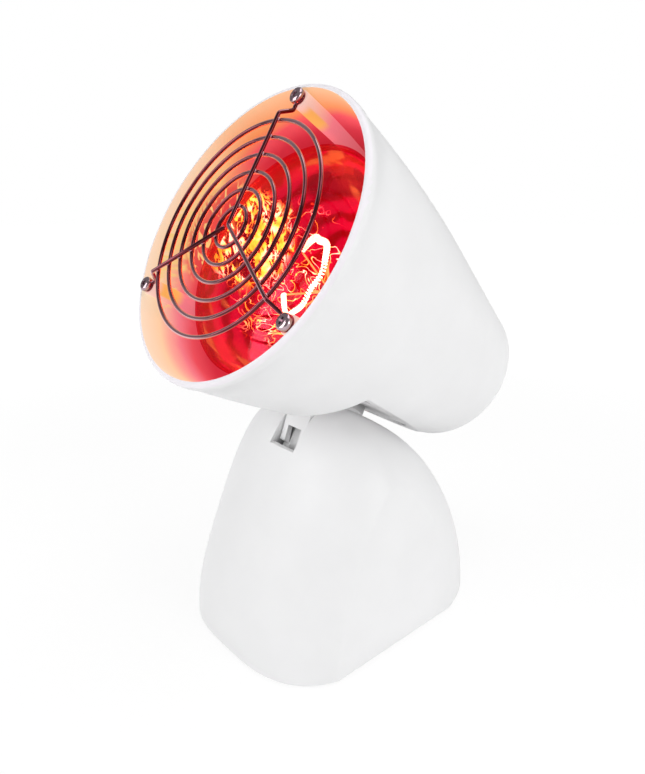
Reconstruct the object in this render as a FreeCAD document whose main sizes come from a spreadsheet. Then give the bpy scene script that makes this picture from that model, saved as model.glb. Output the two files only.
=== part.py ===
"""Infrared heat therapy lamp: domed stand, tilting neck, bell shade, guard and reflector bulb.

The row frame stands on the floor: +Z up, the lamp faces -Y, +X is its left-right axis.
Head pieces are drawn in the shade's own frame: origin at the centre of the mouth, +Y from
the mouth to the rear, +Z towards the top screw. One shared placement tilts them all.
"""
import FreeCAD, Part
import math
import os
import Sketcher

Vector = FreeCAD.Vector
doc = FreeCAD.newDocument("HeatLamp")
sheet = doc.addObject("Spreadsheet::Sheet", "Sizes")

SIZES = {
    # stand: distances are ahead of or behind the hinge axis, heights above the floor
    "hinge_y": -17.59,
    "hinge_height": 95.0,
    "side_half_width": 55.7,
    "toe_ahead": 68.4,
    "shin_ahead": 65.3,
    "shin_height": 25.0,
    "waist_ahead": 54.4,
    "waist_height": 55.0,
    "chest_ahead": 40.8,
    "chest_height": 85.0,
    "brow_ahead": 23.5,
    "brow_height": 113.4,
    "crown_ahead": 12.4,
    "crown_height": 122.5,
    "heel_behind": 89.9,
    "crown_reach": 68.1,
    "crown_power": 2.83,
    "front_reach": 60.0,
    "front_power": 3.05,
    "rear_reach": 59.7,
    "rear_power": 2.64,
    "rear_curve": 1.69,
    "stand_wall": 2.5,
    "rim_gap": 1.2,
    # hinge
    "slot_half_width": 9.5,
    "slot_bottom": 104.1,
    "slot_behind": 28.0,
    "ear_wall": 3.2,
    "ear_ahead": 45.0,
    "ear_behind": 15.0,
    "ear_drop": 14.0,
    "pin_radius": 3.0,
    "pin_clearance": 0.06,
    "friction_washer_radius": 11.0,
    "friction_washer_wall": 0.5,
    "bolt_head_radius": 5.6,
    "bolt_head_height": 3.6,
    "nut_height": 5.0,
    "spring_washer_wall": 1.6,
    "spring_washer_rim": 2.6,
    "bolt_end": 2.0,
    # screws
    "plate_screw_head": 3.4,
    "plate_screw_height": 1.7,
    "plate_screw_shank": 1.9,
    "plate_screw_length": 17.0,
    "ballast_screw_length": 10.0,
    "small_screw_head": 2.8,
    "small_screw_height": 1.6,
    "small_screw_shank": 1.4,
    "cover_screw_length": 9.0,
    "holder_screw_length": 6.0,
    "thread_clearance": 0.1,
    "screw_clearance": 0.3,
    # underside of the stand
    "plate_wall": 2.5,
    "plate_gap": 0.5,
    "seat_gap": 0.2,
    "foot_radius": 8.0,
    "foot_height": 2.2,
    "foot_across": 36.0,
    "front_foot_ahead": 42.0,
    "rear_foot_behind": 58.0,
    "post_radius": 4.0,
    "post_height": 26.0,
    "rib_wall": 2.0,
    "rib_rise": 4.0,
    "rib_end_inset": 0.5,
    "post_across": 44.0,
    "front_post_ahead": 20.0,
    "rear_post_behind": 44.0,
    "ballast_half_width": 30.0,
    "ballast_ahead": 34.0,
    "ballast_behind": 40.0,
    "ballast_height": 13.0,
    "ballast_screw_inset": 12.0,
    "air_slot_behind": 26.0,
    "air_slot_pitch": 5.0,
    "air_slot_width": 2.0,
    "air_slot_half_length": 14.0,
    "air_slot_count": 5,
    # electrical pieces of the stand
    "switch_height": 38.0,
    "switch_behind": 8.0,
    "switch_half_width": 6.5,
    "switch_half_height": 9.6,
    "switch_depth": 15.0,
    "bezel_margin": 1.4,
    "bezel_wall": 1.5,
    "switch_well_depth": 8.5,
    "pivot_inset": 1.6,
    "rocker_half_width": 5.0,
    "rocker_half_height": 7.6,
    "rocker_side_gap": 0.4,
    "rocker_end_gap": 1.1,
    "rocker_face": 2.4,
    "rocker_tip": 3.8,
    "rocker_back": 3.2,
    "rocker_back_half": 3.0,
    "rocker_end_back": 1.4,
    "rocker_end_slope": 0.6,
    "rocker_rest_angle": 8.0,
    "trunnion_radius": 1.0,
    "trunnion_length": 1.0,
    "trunnion_clearance": 0.05,
    "opening_gap": 0.2,
    "gland_height": 15.0,
    "gland_bore": 3.6,
    "gland_wall": 1.8,
    "gland_clearance": 0.1,
    "gland_flange": 4.2,
    "gland_boss_wall": 3.4,
    "gland_boss_depth": 6.5,
    "gland_tail": 3.0,
    "gland_snap": 1.0,
    "gland_snap_gap": 0.2,
    "gland_flange_wall": 1.8,
    "gland_nose": 8.0,
    "terminal_half_length": 15.0,
    "terminal_depth": 14.0,
    "terminal_height": 12.0,
    "terminal_behind": 62.0,
    "terminal_pitch": 9.3,
    "terminal_well_radius": 2.2,
    "terminal_well_depth": 6.0,
    "terminal_way_radius": 1.6,
    "terminal_way_height": 3.4,
    "clamp_screw_head": 1.9,
    "clamp_screw_height": 1.4,
    "clamp_screw_shank": 1.4,
    "clamp_screw_length": 3.2,
    "clamp_screw_drop": 2.4,
    # head: stations run from the mouth plane to the rear
    "rest_tilt": 30.56,
    "mouth_ahead": 104.7,
    "axis_rise": 75.2,
    "mouth_radius": 70.0,
    "lip_radius": 72.7,
    "lip_round": 2.2,
    "collar_radius": 72.1,
    "collar_station": 5.0,
    "flank_curve": 658.0,
    "flank_radius": 57.9,
    "flank_station": 108.0,
    "tail_radius": 43.3,
    "shade_length": 180.0,
    "tail_round": 7.0,
    "tail_slot_start": 18.0,
    "tail_slot_end": 33.0,
    "tail_slot_half_width": 1.5,
    "tail_slot_count": 12,
    "shade_wall": 2.4,
    "tail_ledge_half_width": 34.0,
    "tail_ledge_below": 6.0,
    "tail_ledge_above": 3.0,
    "holder_post_radius": 4.5,
    # underside notch and neck
    "flat_drop": 45.6,
    "notch_station": 70.0,
    "notch_slope": 0.4,
    "notch_depth": 34.4,
    "flat_end": 157.0,
    "cover_wall": 2.4,
    "cover_gap": 0.35,
    "cover_end_gap": 0.4,
    "neck_root": 0.6,
    "neck_half_width": 8.8,
    "neck_wall": 2.4,
    "drum_radius": 26.2,
    "neck_lean": 8.3,
    "neck_behind": 8.0,
    "hub_radius": 6.5,
    "lead_way_ahead": 8.0,
    "lead_way_behind": 14.0,
    "lead_way_drop": 14.0,
    "cover_opening_ahead": 20.0,
    "cover_screw_ahead": 20.0,
    "cover_screw_inset": 14.3,
    "cover_screw_wide": 31.0,
    "cover_screw_narrow": 10.5,
    "cover_screw_sink": 1.7,
    "cover_sink_gap": 0.3,
    "lug_half_width": 4.5,
    "lug_height": 8.0,
    "grip_half_width": 5.1,
    "grip_depth": 4.2,
    "grip_top": 4.5,
    "grip_backing_drop": 16.0,
    # guard
    "screw_inset": 4.4,
    "top_screw_angle": 88.0,
    "left_screw_angle": 210.0,
    "right_screw_angle": 328.0,
    "boss_start": 1.8,
    "boss_radius": 4.3,
    "boss_length": 42.0,
    "boss_web": 5.0,
    "wire_radius": 0.95,
    "guard_ahead": 3.6,
    "eye_radius": 2.75,
    "leg_start": 2.4,
    "leg_step": 8.5,
    "leg_land": 3.4,
    "weld_depth": 0.2,
    "leg_bend": 2.2,
    "first_ring": 9.8,
    "ring_edge_gap": 14.05,
    "ring_count": 6,
    "guard_screw_head": 3.75,
    "guard_screw_height": 2.2,
    "guard_screw_length": 12.0,
    # lamp
    "bulb_radius": 59.0,
    "bulb_face": 13.0,
    "bulb_face_bow": 132.0,
    "face_edge_inset": 5.0,
    "face_edge_rise": 9.2,
    "face_edge_round": 7.0,
    "bulb_edge": 27.0,
    "bulb_bow": 150.0,
    "bulb_waist_radius": 21.0,
    "bulb_waist": 92.0,
    "bulb_neck_radius": 12.5,
    "bulb_neck": 119.0,
    "neck_straight": 8.0,
    "neck_seal": 3.0,
    "glass_wall": 1.3,
    "film_wall": 0.3,
    "film_gap": 0.15,
    "filament_ahead": 47.0,
    "filament_half_width": 11.0,
    "filament_half_height": 20.0,
    "filament_gap_angle": 35.0,
    "filament_wire": 0.55,
    "filament_runs": 7,
    "filament_bend": 0.9,
    "stem_ahead": 27.0,
    "stem_radius": 4.2,
    "stem_foot_radius": 9.5,
    "stem_flare": 6.0,
    "support_wire": 0.45,
    "support_root": 4.0,
    "support_bend": 1.5,
    "cap_radius": 13.3,
    "cap_start": 120.0,
    "cap_end": 141.0,
    "cap_wall": 0.5,
    "cap_cone": 3.4,
    "cap_cone_radius": 6.2,
    "cap_seal_radius": 3.4,
    "cap_seal_wall": 0.8,
    "contact_radius": 3.2,
    "contact_tip": 2.0,
    "contact_length": 5.0,
    "contact_step": 1.6,
    "holder_radius": 21.0,
    "holder_start": 118.0,
    "holder_end": 158.5,
    "holder_bore": 14.7,
    "holder_floor": 8.5,
    "holder_edge": 2.0,
    "holder_screw_across": 9.0,
    "sleeve_wall": 0.5,
    "sleeve_gap": 0.15,
    "sleeve_start": 3.0,
    "sleeve_end": 2.0,
    "contact_gap": 0.2,
    "holder_contact_radius": 5.5,
    "bracket_wall": 1.5,
    "bracket_rise": 8.0,
    "bracket_half_height": 10.0,
    "bracket_foot": 26.0,
    "bracket_foot_end": 6.0,
    "bracket_reach": 18.0,
    "bracket_side": 4.0,
    "bracket_lead_radius": 4.0,
}


class Dim:
    """A size that carries both its sheet expression and its number."""

    def __init__(self, text, value):
        self.text = text
        self.value = float(value)

    def _join(self, other, sign, value):
        return Dim("(%s %s %s)" % (self.text, sign, dim(other).text), value)

    def __add__(self, other):
        return self._join(other, "+", self.value + dim(other).value)

    def __sub__(self, other):
        return self._join(other, "-", self.value - dim(other).value)

    def __mul__(self, other):
        return self._join(other, "*", self.value * dim(other).value)

    def __truediv__(self, other):
        return self._join(other, "/", self.value / dim(other).value)

    def __neg__(self):
        return Dim("(0 - %s)" % self.text, -self.value)

    def __radd__(self, other):
        return dim(other) + self

    def __rsub__(self, other):
        return dim(other) - self

    def __rmul__(self, other):
        return dim(other) * self


def dim(item):
    """Return a plain number or a Dim as a Dim."""
    if isinstance(item, Dim):
        return item
    return Dim(repr(float(item)), item)


def size(name):
    """Return the named size of the sheet."""
    return Dim("Sizes.%s" % name, SIZES[name])


def cosine(angle):
    """Cosine of an angle in degrees."""
    return Dim("cos(%s)" % angle.text, math.cos(math.radians(angle.value)))


def sine(angle):
    """Sine of an angle in degrees."""
    return Dim("sin(%s)" % angle.text, math.sin(math.radians(angle.value)))


def fill_sheet():
    """Write every size and its alias into the sheet."""
    for row, (name, value) in enumerate(SIZES.items(), start=1):
        sheet.set("A%d" % row, name)
        sheet.set("B%d" % row, repr(value))
        sheet.setAlias("B%d" % row, name)
    doc.recompute()


def bind(item, prop, value):
    """Tie a property to a size."""
    item.setExpression(prop, dim(value).text)


def place(item, x=0, y=0, z=0, axis=None, angle=0):
    """Move an object to a point given by sizes, turned about an axis if one is given."""
    point = Vector(dim(x).value, dim(y).value, dim(z).value)
    turn = FreeCAD.Rotation(axis or Vector(0, 0, 1), dim(angle).value)
    item.Placement = FreeCAD.Placement(point, turn)
    bind(item, "Placement.Base.x", x)
    bind(item, "Placement.Base.y", y)
    bind(item, "Placement.Base.z", z)
    return item


# ---------------------------------------------------------------- building helpers
def new_body(name):
    return doc.addObject("PartDesign::Body", name)


def new_sketch(body, plane):
    """Add a sketch on one of the body's own origin planes."""
    sketch = body.newObject("Sketcher::SketchObject", body.Name + "Outline")
    support = [item for item in body.Origin.OriginFeatures if item.Role == plane][0]
    sketch.AttachmentSupport = [(support, "")]
    sketch.MapMode = "FlatFace"
    return sketch


def hold_point(sketch, edge, end, across, up):
    """Fix a point of an edge at two sizes measured from the sketch's origin."""
    for kind, axis, value in (("DistanceX", -2, dim(across)), ("DistanceY", -1, dim(up))):
        if value.value == 0:
            sketch.addConstraint(Sketcher.Constraint("PointOnObject", edge, end, axis))
            continue
        index = sketch.addConstraint(Sketcher.Constraint(kind, -1, 1, edge, end, value.value))
        sketch.setExpression("Constraints[%d]" % index, value.text)


def arc_between(start, finish, radius):
    """Arc from start to finish; a positive radius curves to the left of the way."""
    chord = finish - start
    middle = (start + finish) * 0.5
    rise = math.sqrt(radius * radius - chord.Length ** 2 / 4)
    left = Vector(-chord.y, chord.x, 0) / chord.Length
    centre = middle + left * math.copysign(rise, radius)
    first, last = (start, finish) if radius > 0 else (finish, start)
    angles = [math.atan2(point.y - centre.y, point.x - centre.x) for point in (first, last)]
    return Part.ArcOfCircle(Part.Circle(centre, Vector(0, 0, 1), abs(radius)), *angles)


def outline(sketch, corners):
    """Close an outline through corners; a third item makes the edge after it an arc."""
    points = [Vector(dim(corner[0]).value, dim(corner[1]).value, 0) for corner in corners]
    ends = []
    for index, corner in enumerate(corners):
        start = points[index]
        finish = points[(index + 1) % len(corners)]
        if len(corner) == 3:
            radius = dim(corner[2])
            sketch.addGeometry(arc_between(start, finish, radius.value))
            ends.append((1, 2) if radius.value > 0 else (2, 1))
        else:
            sketch.addGeometry(Part.LineSegment(start, finish))
            ends.append((1, 2))
    for index, corner in enumerate(corners):
        following = (index + 1) % len(corners)
        joint = Sketcher.Constraint("Coincident", index, ends[index][1], following, ends[following][0])
        sketch.addConstraint(joint)
    for index, corner in enumerate(corners):
        hold_point(sketch, index, ends[index][0], corner[0], corner[1])
        if len(corner) == 3:
            radius = dim(corner[2])
            bow = Sketcher.Constraint("Radius", index, abs(radius.value))
            text = radius.text if radius.value > 0 else "(0 - %s)" % radius.text
            sketch.setExpression("Constraints[%d]" % sketch.addConstraint(bow), text)


def revolved(name, plane, axis, corners):
    """Body of revolution: corners are read on the plane, axis is H_Axis or V_Axis."""
    body = new_body(name)
    sketch = new_sketch(body, plane)
    outline(sketch, corners)
    turn = body.newObject("PartDesign::Revolution", name + "Turn")
    turn.Profile = sketch
    turn.ReferenceAxis = (sketch, [axis])
    turn.Angle = 360
    return body


def padded(name, plane, corners, length):
    """Outline padded by a length, half to each side of its plane."""
    body = new_body(name)
    sketch = new_sketch(body, plane)
    outline(sketch, corners)
    pad = body.newObject("PartDesign::Pad", name + "Pad")
    pad.Profile = sketch
    pad.SideType = "Symmetric"
    pad.Length = dim(length).value
    bind(pad, "Length", length)
    return body


def box(name, x_range, y_range, z_range):
    """Box between two limits on each axis."""
    item = doc.addObject("Part::Box", name)
    for prop, limits in (("Length", x_range), ("Width", y_range), ("Height", z_range)):
        bind(item, prop, dim(limits[1]) - limits[0])
    return place(item, x_range[0], y_range[0], z_range[0])


def cylinder(name, radius, length, x=0, y=0, z=0, along="z"):
    """Cylinder that starts at a point and runs along x, y or z."""
    item = doc.addObject("Part::Cylinder", name)
    bind(item, "Radius", radius)
    bind(item, "Height", length)
    turns = {"x": (Vector(0, 1, 0), 90), "y": (Vector(-1, 0, 0), 90), "z": (None, 0)}
    return place(item, x, y, z, *turns[along])


def fuse(name, *items):
    item = doc.addObject("Part::MultiFuse", name)
    item.Shapes = list(items)
    return item


def common(name, *items):
    item = doc.addObject("Part::MultiCommon", name)
    item.Shapes = list(items)
    return item


def cut(name, base, *tools):
    item = doc.addObject("Part::Cut", name)
    item.Base = base
    item.Tool = tools[0] if len(tools) == 1 else fuse(name + "Tools", *tools)
    return item


def group(name, items):
    """Several separate solids in one node."""
    item = doc.addObject("Part::Compound", name)
    item.Links = list(items)
    return item


def solid_feature(name, shape):
    """Shape made with Part's own functions, for surfaces that no feature makes."""
    item = doc.addObject("Part::Feature", name)
    item.Shape = shape
    return item


NODES = {}


def keep(node, item, on_head=False):
    """Register an object as a sub-part; head pieces share the tilt placement."""
    item.Label = node
    NODES[node] = item
    if on_head:
        tilt = size("rest_tilt")
        ahead = size("mouth_ahead")
        rise = size("axis_rise")
        y = size("hinge_y") - ahead * cosine(tilt) + rise * sine(tilt)
        z = size("hinge_height") + ahead * sine(tilt) + rise * cosine(tilt)
        place(item, 0, y, z, Vector(-1, 0, 0), tilt)
        bind(item, "Placement.Rotation.Angle", tilt)
    return item


def screw(name, head_radius, head_height, shank_radius, shank_length):
    """Pan-head screw along +Y: the head's underside is at the origin."""
    dish = dim(head_radius) * 0.7
    rim = dim(head_height) * 0.45
    corners = [
        (0, -dim(head_height)),
        (dish, -dim(head_height)),
        (head_radius, -rim),
        (head_radius, 0),
        (shank_radius, 0),
        (shank_radius, shank_length),
        (0, shank_length),
    ]
    return revolved(name, "XY_Plane", "V_Axis", corners)


# ---------------------------------------------------------------- stand
HINGE_Y = size("hinge_y")
HINGE_Z = size("hinge_height")
SECTION_SHARES = (0, 0.3, 0.55, 0.75, 0.88, 0.96, 1)


def narrowing(x, part, inset):
    """How much of a measure is left at a distance x from the middle plane."""
    reach = SIZES[part + "_reach"] - inset
    power = SIZES[part + "_power"]
    return (1 - (abs(x) / reach) ** power) ** (1 / power)


def stand_section(x, inset):
    """Closed side outline of the dome at x, moved in by an inset."""
    front = [("toe", 0), ("shin", 1), ("waist", 1), ("chest", 1), ("brow", 1), ("crown", 1)]
    toe = SIZES["toe_ahead"]
    heel = SIZES["heel_behind"]
    crown = SIZES["crown_height"]
    forward = (toe - inset) / toe * narrowing(x, "front", inset)
    backward = (heel - inset) / heel * narrowing(x, "rear", inset)
    upward = (crown - inset) / crown * narrowing(x, "crown", inset)
    hinge = SIZES["hinge_y"]
    points = []
    for name, raised in front:
        height = SIZES[name + "_height"] if raised else 0
        points.append(Vector(x, hinge - SIZES[name + "_ahead"] * forward, height * upward))
    start = SIZES["crown_ahead"]
    for degrees in (72, 56, 42, 28, 14, 0):
        turn = math.radians(degrees)
        along = (heel + start) * math.cos(turn) ** (2 / SIZES["rear_curve"]) - start
        height = crown * math.sin(turn) ** (2 / SIZES["rear_curve"])
        reach = along * (backward if along > 0 else forward)
        points.append(Vector(x, hinge + reach, height * upward))
    curve = Part.BSplineCurve()
    curve.interpolate(points)
    floor = Part.LineSegment(points[-1], points[0])
    return Part.Wire([curve.toShape(), floor.toShape()])


def dome(name, inset):
    """Solid dome between flat sides, moved in by an inset."""
    half = SIZES["side_half_width"] - inset
    stations = [-half * share for share in reversed(SECTION_SHARES[1:])]
    stations += [half * share for share in SECTION_SHARES]
    sections = [stand_section(x, inset) for x in stations]
    return solid_feature(name, Part.makeLoft(sections, True, False))


def stand_inside(name, gap):
    """Hollow of the stand less a gap all round."""
    return dome(name, SIZES["stand_wall"] + gap)


def post_places():
    """Places of the four posts that take the base plate's screws."""
    rows = (HINGE_Y - size("front_post_ahead"), HINGE_Y + size("rear_post_behind"))
    return [(size("post_across") * side, y) for y in rows for side in (-1, 1)]


def foot_places():
    rows = (HINGE_Y - size("front_foot_ahead"), HINGE_Y + size("rear_foot_behind"))
    return [(size("foot_across") * side, y) for y in rows for side in (-1, 1)]


def ballast_screw_places():
    inset = size("ballast_screw_inset")
    return [(0, HINGE_Y - size("ballast_ahead") + inset), (0, HINGE_Y + size("ballast_behind") - inset)]


PLATE_FLOOR = size("foot_height")
PLATE_TOP = PLATE_FLOOR + size("plate_wall")
SWITCH_Y = HINGE_Y + size("switch_behind")
SWITCH_Z = size("switch_height")
SIDE_X = -size("side_half_width")
GLAND_Y = HINGE_Y + size("heel_behind")
GLAND_HOLE = size("gland_bore") + size("gland_wall") + size("gland_clearance")
PLATE_SHANK = size("plate_screw_shank")
PLATE_HOLE = PLATE_SHANK + size("screw_clearance")
SMALL_SHANK = size("small_screw_shank")
SMALL_THREAD = SMALL_SHANK + size("thread_clearance")
SMALL_HOLE = SMALL_SHANK + size("screw_clearance")


def make_stand_shell():
    """Domed shell with the neck slot, hinge ears, posts, switch opening and gland hole."""
    outer = dome("DomeOutside", 0)
    skin = cut("DomeSkin", outer, stand_inside("DomeInside", 0))
    slot = size("slot_half_width")
    ears = []
    posts = []
    for side, word in ((-1, "Left"), (1, "Right")):
        near = slot if side > 0 else -slot - size("ear_wall")
        ear = box("Ear" + word, (near, near + size("ear_wall")),
                  (HINGE_Y - size("ear_ahead"), HINGE_Y + size("ear_behind")),
                  (HINGE_Z - size("ear_drop"), size("crown_height")))
        ears.append(ear)
    for index, (x, y) in enumerate(post_places()):
        post = cylinder("Post%d" % index, size("post_radius"), size("post_height"), x, y,
                        PLATE_TOP + size("seat_gap"))
        near = size("post_across")
        wall = size("side_half_width") - size("rib_end_inset")
        limits = (near, wall) if x.value > 0 else (-wall, -near)
        rib = box("Rib%d" % index, limits, (y - size("rib_wall") / 2, y + size("rib_wall") / 2),
                  (PLATE_TOP + size("rib_rise"), PLATE_TOP + size("post_height")))
        posts += [post, rib]
    trimmed = common("Trimmed", fuse("Fittings", *(ears + posts)), outer)
    gland_boss = cylinder("GlandBoss", GLAND_HOLE + size("gland_boss_wall"), size("gland_boss_depth"), 0,
                          GLAND_Y - size("gland_boss_depth"), size("gland_height"), "y")
    body = fuse("DomeWithFittings", skin, trimmed, gland_boss)
    opening_width = size("switch_half_width") + size("opening_gap")
    opening_height = size("switch_half_height") + size("opening_gap")
    tools = [
        box("NeckSlot", (-slot, slot), (HINGE_Y - size("toe_ahead"), HINGE_Y + size("slot_behind")),
            (size("slot_bottom"), size("crown_height") + 20)),
        cylinder("PinBore", size("pin_radius") + size("pin_clearance"), 60, -30, HINGE_Y, HINGE_Z, "x"),
        box("RimCut", (-90, 90), (-150, 150), (-5, size("rim_gap"))),
        box("SwitchOpening", (SIDE_X - 2, SIDE_X + 8),
            (SWITCH_Y - opening_width, SWITCH_Y + opening_width),
            (SWITCH_Z - opening_height, SWITCH_Z + opening_height)),
        cylinder("GlandHole", GLAND_HOLE, 16, 0, GLAND_Y - 12, size("gland_height"), "y"),
    ]
    for index, (x, y) in enumerate(post_places()):
        tools.append(cylinder("PostHole%d" % index, PLATE_SHANK + size("thread_clearance"),
                              size("plate_screw_length"), x, y, PLATE_TOP))
    keep("stand_shell", cut("StandShell", body, *tools))


def make_base_plate():
    """Bottom plate inside the shell's rim, with screw holes and air slots."""
    inside = stand_inside("PlateOutline", SIZES["plate_gap"])
    slab = box("PlateSlab", (-90, 90), (-150, 150), (PLATE_FLOOR, PLATE_TOP))
    tools = []
    for index, (x, y) in enumerate(post_places() + ballast_screw_places()):
        tools.append(cylinder("PlateHole%d" % index, PLATE_HOLE, 10, x, y, 0))
    long = size("air_slot_half_length")
    for index in range(int(SIZES["air_slot_count"])):
        y = HINGE_Y + size("ballast_behind") + size("air_slot_behind") + size("air_slot_pitch") * index
        tools.append(box("AirSlot%d" % index, (-long, long), (y, y + size("air_slot_width")), (0, 10)))
    keep("base_plate", cut("BasePlate", common("PlateBlank", inside, slab), *tools))


def make_feet_and_screws():
    feet = [cylinder("Foot%d" % index, size("foot_radius"), PLATE_FLOOR, x, y, 0)
            for index, (x, y) in enumerate(foot_places())]
    keep("rubber_feet", group("Feet", feet))
    plate_screws = []
    for index, (x, y) in enumerate(post_places()):
        item = screw("PlateScrew%d" % index, size("plate_screw_head"), size("plate_screw_height"),
                     PLATE_SHANK, size("plate_screw_length"))
        plate_screws.append(place(item, x, y, PLATE_FLOOR, Vector(1, 0, 0), 90))
    keep("base_plate_screws", group("PlateScrews", plate_screws))
    ballast_screws = []
    for index, (x, y) in enumerate(ballast_screw_places()):
        item = screw("BallastScrew%d" % index, size("plate_screw_head"), size("plate_screw_height"),
                     PLATE_SHANK, size("ballast_screw_length"))
        ballast_screws.append(place(item, x, y, PLATE_FLOOR, Vector(1, 0, 0), 90))
    keep("ballast_screws", group("BallastScrews", ballast_screws))


def make_ballast():
    """Iron block on the base plate that keeps the lamp standing."""
    half = size("ballast_half_width")
    block = box("BallastBlock", (-half, half),
                (HINGE_Y - size("ballast_ahead"), HINGE_Y + size("ballast_behind")),
                (PLATE_TOP, PLATE_TOP + size("ballast_height")))
    holes = [cylinder("BallastHole%d" % index, PLATE_SHANK + size("thread_clearance"),
                      size("ballast_screw_length"), x, y, PLATE_TOP - 1)
             for index, (x, y) in enumerate(ballast_screw_places())]
    keep("ballast_weight", cut("Ballast", block, *holes))


def make_hinge():
    """Bolt, nut and washers that clamp the neck between the ears."""
    slot = size("slot_half_width")
    outside = slot + size("ear_wall")
    head = size("bolt_head_height")
    pin = size("pin_radius")
    spring = size("spring_washer_wall")
    far = outside + spring + size("nut_height") + size("bolt_end")
    bolt = revolved("HingeBolt", "XY_Plane", "H_Axis", [
        (-outside - head, 0), (far, 0), (far, pin), (-outside, pin),
        (-outside, size("bolt_head_radius")), (-outside - head, size("bolt_head_radius"))])
    keep("hinge_bolt", place(bolt, 0, HINGE_Y, HINGE_Z))

    def ring(name, start, wall, radius):
        bore = pin + size("pin_clearance")
        item = revolved(name, "XY_Plane", "H_Axis", [
            (start, bore), (start + wall, bore), (start + wall, radius), (start, radius)])
        return place(item, 0, HINGE_Y, HINGE_Z)

    washer = size("friction_washer_wall")
    gap = (slot - size("neck_half_width") - washer) / 2
    near = size("neck_half_width") + gap
    radius = size("friction_washer_radius")
    keep("friction_washers", group("FrictionWashers", [
        ring("WasherRight", near, washer, radius),
        ring("WasherLeft", -near - washer, washer, radius)]))
    keep("spring_washer", ring("SpringWasher", outside, spring, pin + size("spring_washer_rim")))
    blank = doc.addObject("Part::Prism", "NutBlank")
    bind(blank, "Circumradius", size("bolt_head_radius"))
    bind(blank, "Height", size("nut_height"))
    place(blank, outside + spring, HINGE_Y, HINGE_Z, Vector(0, 1, 0), 90)
    bore = cylinder("NutBore", pin + size("pin_clearance"), 20, outside, HINGE_Y, HINGE_Z, "x")
    keep("hinge_nut", cut("HingeNut", blank, bore))


def make_switch():
    """Rocker switch in the flat left side: housing with a bezel, and the rocker."""
    wide = size("switch_half_width")
    tall = size("switch_half_height")
    margin = size("bezel_margin")
    face = SIDE_X - size("bezel_wall")
    shell = box("SwitchCan", (SIDE_X, SIDE_X + size("switch_depth")),
                (SWITCH_Y - wide, SWITCH_Y + wide), (SWITCH_Z - tall, SWITCH_Z + tall))
    bezel = box("SwitchBezel", (face, SIDE_X), (SWITCH_Y - wide - margin, SWITCH_Y + wide + margin),
                (SWITCH_Z - tall - margin, SWITCH_Z + tall + margin))
    half_width = size("rocker_half_width") + size("rocker_side_gap")
    half_height = size("rocker_half_height") + size("rocker_end_gap")
    well = box("SwitchWell", (face - 2, face + size("switch_well_depth")),
               (SWITCH_Y - half_width, SWITCH_Y + half_width),
               (SWITCH_Z - half_height, SWITCH_Z + half_height))
    pivot_x = face + size("pivot_inset")
    pin = size("trunnion_radius")
    end = size("rocker_half_width") + size("trunnion_length")
    bore_end = end + size("opening_gap")
    bore = cylinder("RockerBore", pin + size("trunnion_clearance"), bore_end * 2, pivot_x,
                    SWITCH_Y - bore_end, SWITCH_Z, "y")
    keep("switch_housing", cut("SwitchHousing", fuse("SwitchSolid", shell, bezel), well, bore))
    reach = size("rocker_half_height")
    slope = reach - size("rocker_end_slope")
    back = size("rocker_back")
    half = size("rocker_back_half")
    end_back = size("rocker_end_back")
    tip = -size("rocker_tip")
    key = padded("RockerKey", "XZ_Plane", [
        (-size("rocker_face"), 0), (tip, -reach), (end_back, -slope), (back, -half), (back, half),
        (end_back, slope), (tip, reach)], size("rocker_half_width") * 2)
    trunnion = cylinder("RockerTrunnion", pin, end * 2, 0, -end, 0, "y")
    rocker = fuse("Rocker", key, trunnion)
    keep("switch_rocker", rocker)
    place(rocker, pivot_x, SWITCH_Y, SWITCH_Z, Vector(0, 1, 0), size("rocker_rest_angle"))
    bind(rocker, "Placement.Rotation.Angle", size("rocker_rest_angle"))


def make_gland():
    """Cable gland in the rear boss: a flanged bush with the lead's bore and a snap collar."""
    bore = size("gland_bore")
    tube_radius = bore + size("gland_wall")
    flange = bore + size("gland_flange")
    inner = -size("gland_boss_depth")
    tail = inner - size("gland_tail")
    snap = inner - size("gland_snap_gap")
    nose = size("gland_nose")
    gland = revolved("CableGland", "XY_Plane", "V_Axis", [
        (bore, tail), (tube_radius, tail), (tube_radius + size("gland_snap"), snap), (tube_radius, snap),
        (tube_radius, 0), (flange, 0), (flange, size("gland_flange_wall")), (tube_radius, nose),
        (bore, nose)])
    keep("cable_gland", place(gland, 0, GLAND_Y, size("gland_height")))


def make_terminals():
    """Terminal block beside the gland with its three clamp screws."""
    half = size("terminal_half_length")
    y = HINGE_Y + size("terminal_behind")
    deep = size("terminal_depth") / 2
    top = PLATE_TOP + size("terminal_height")
    block = box("TerminalBody", (-half, half), (y - deep, y + deep), (PLATE_TOP, top))
    wells = []
    screws = []
    for index in (-1, 0, 1):
        word = str(index + 1)
        x = size("terminal_pitch") * index
        well = size("terminal_well_depth")
        wells.append(cylinder("TerminalWell" + word, size("terminal_well_radius"), well + 1, x, y,
                              top - well))
        wells.append(cylinder("TerminalWay" + word, size("terminal_way_radius"), 40, x, y - 20,
                              PLATE_TOP + size("terminal_way_height"), "y"))
        clamp = screw("TerminalScrew" + word, size("clamp_screw_head"), size("clamp_screw_height"),
                      size("clamp_screw_shank"), size("clamp_screw_length"))
        screws.append(place(clamp, x, y, top - size("clamp_screw_drop"), Vector(-1, 0, 0), 90))
    keep("terminal_block", cut("TerminalBlock", block, *wells))
    keep("terminal_screws", group("TerminalScrews", screws))


# ---------------------------------------------------------------- head, in the shade's frame
HINGE_STATION = size("mouth_ahead")
DROP = size("axis_rise")
FLAT_Z = -size("flat_drop")
SCREW_CIRCLE = size("mouth_radius") - size("screw_inset")


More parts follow.
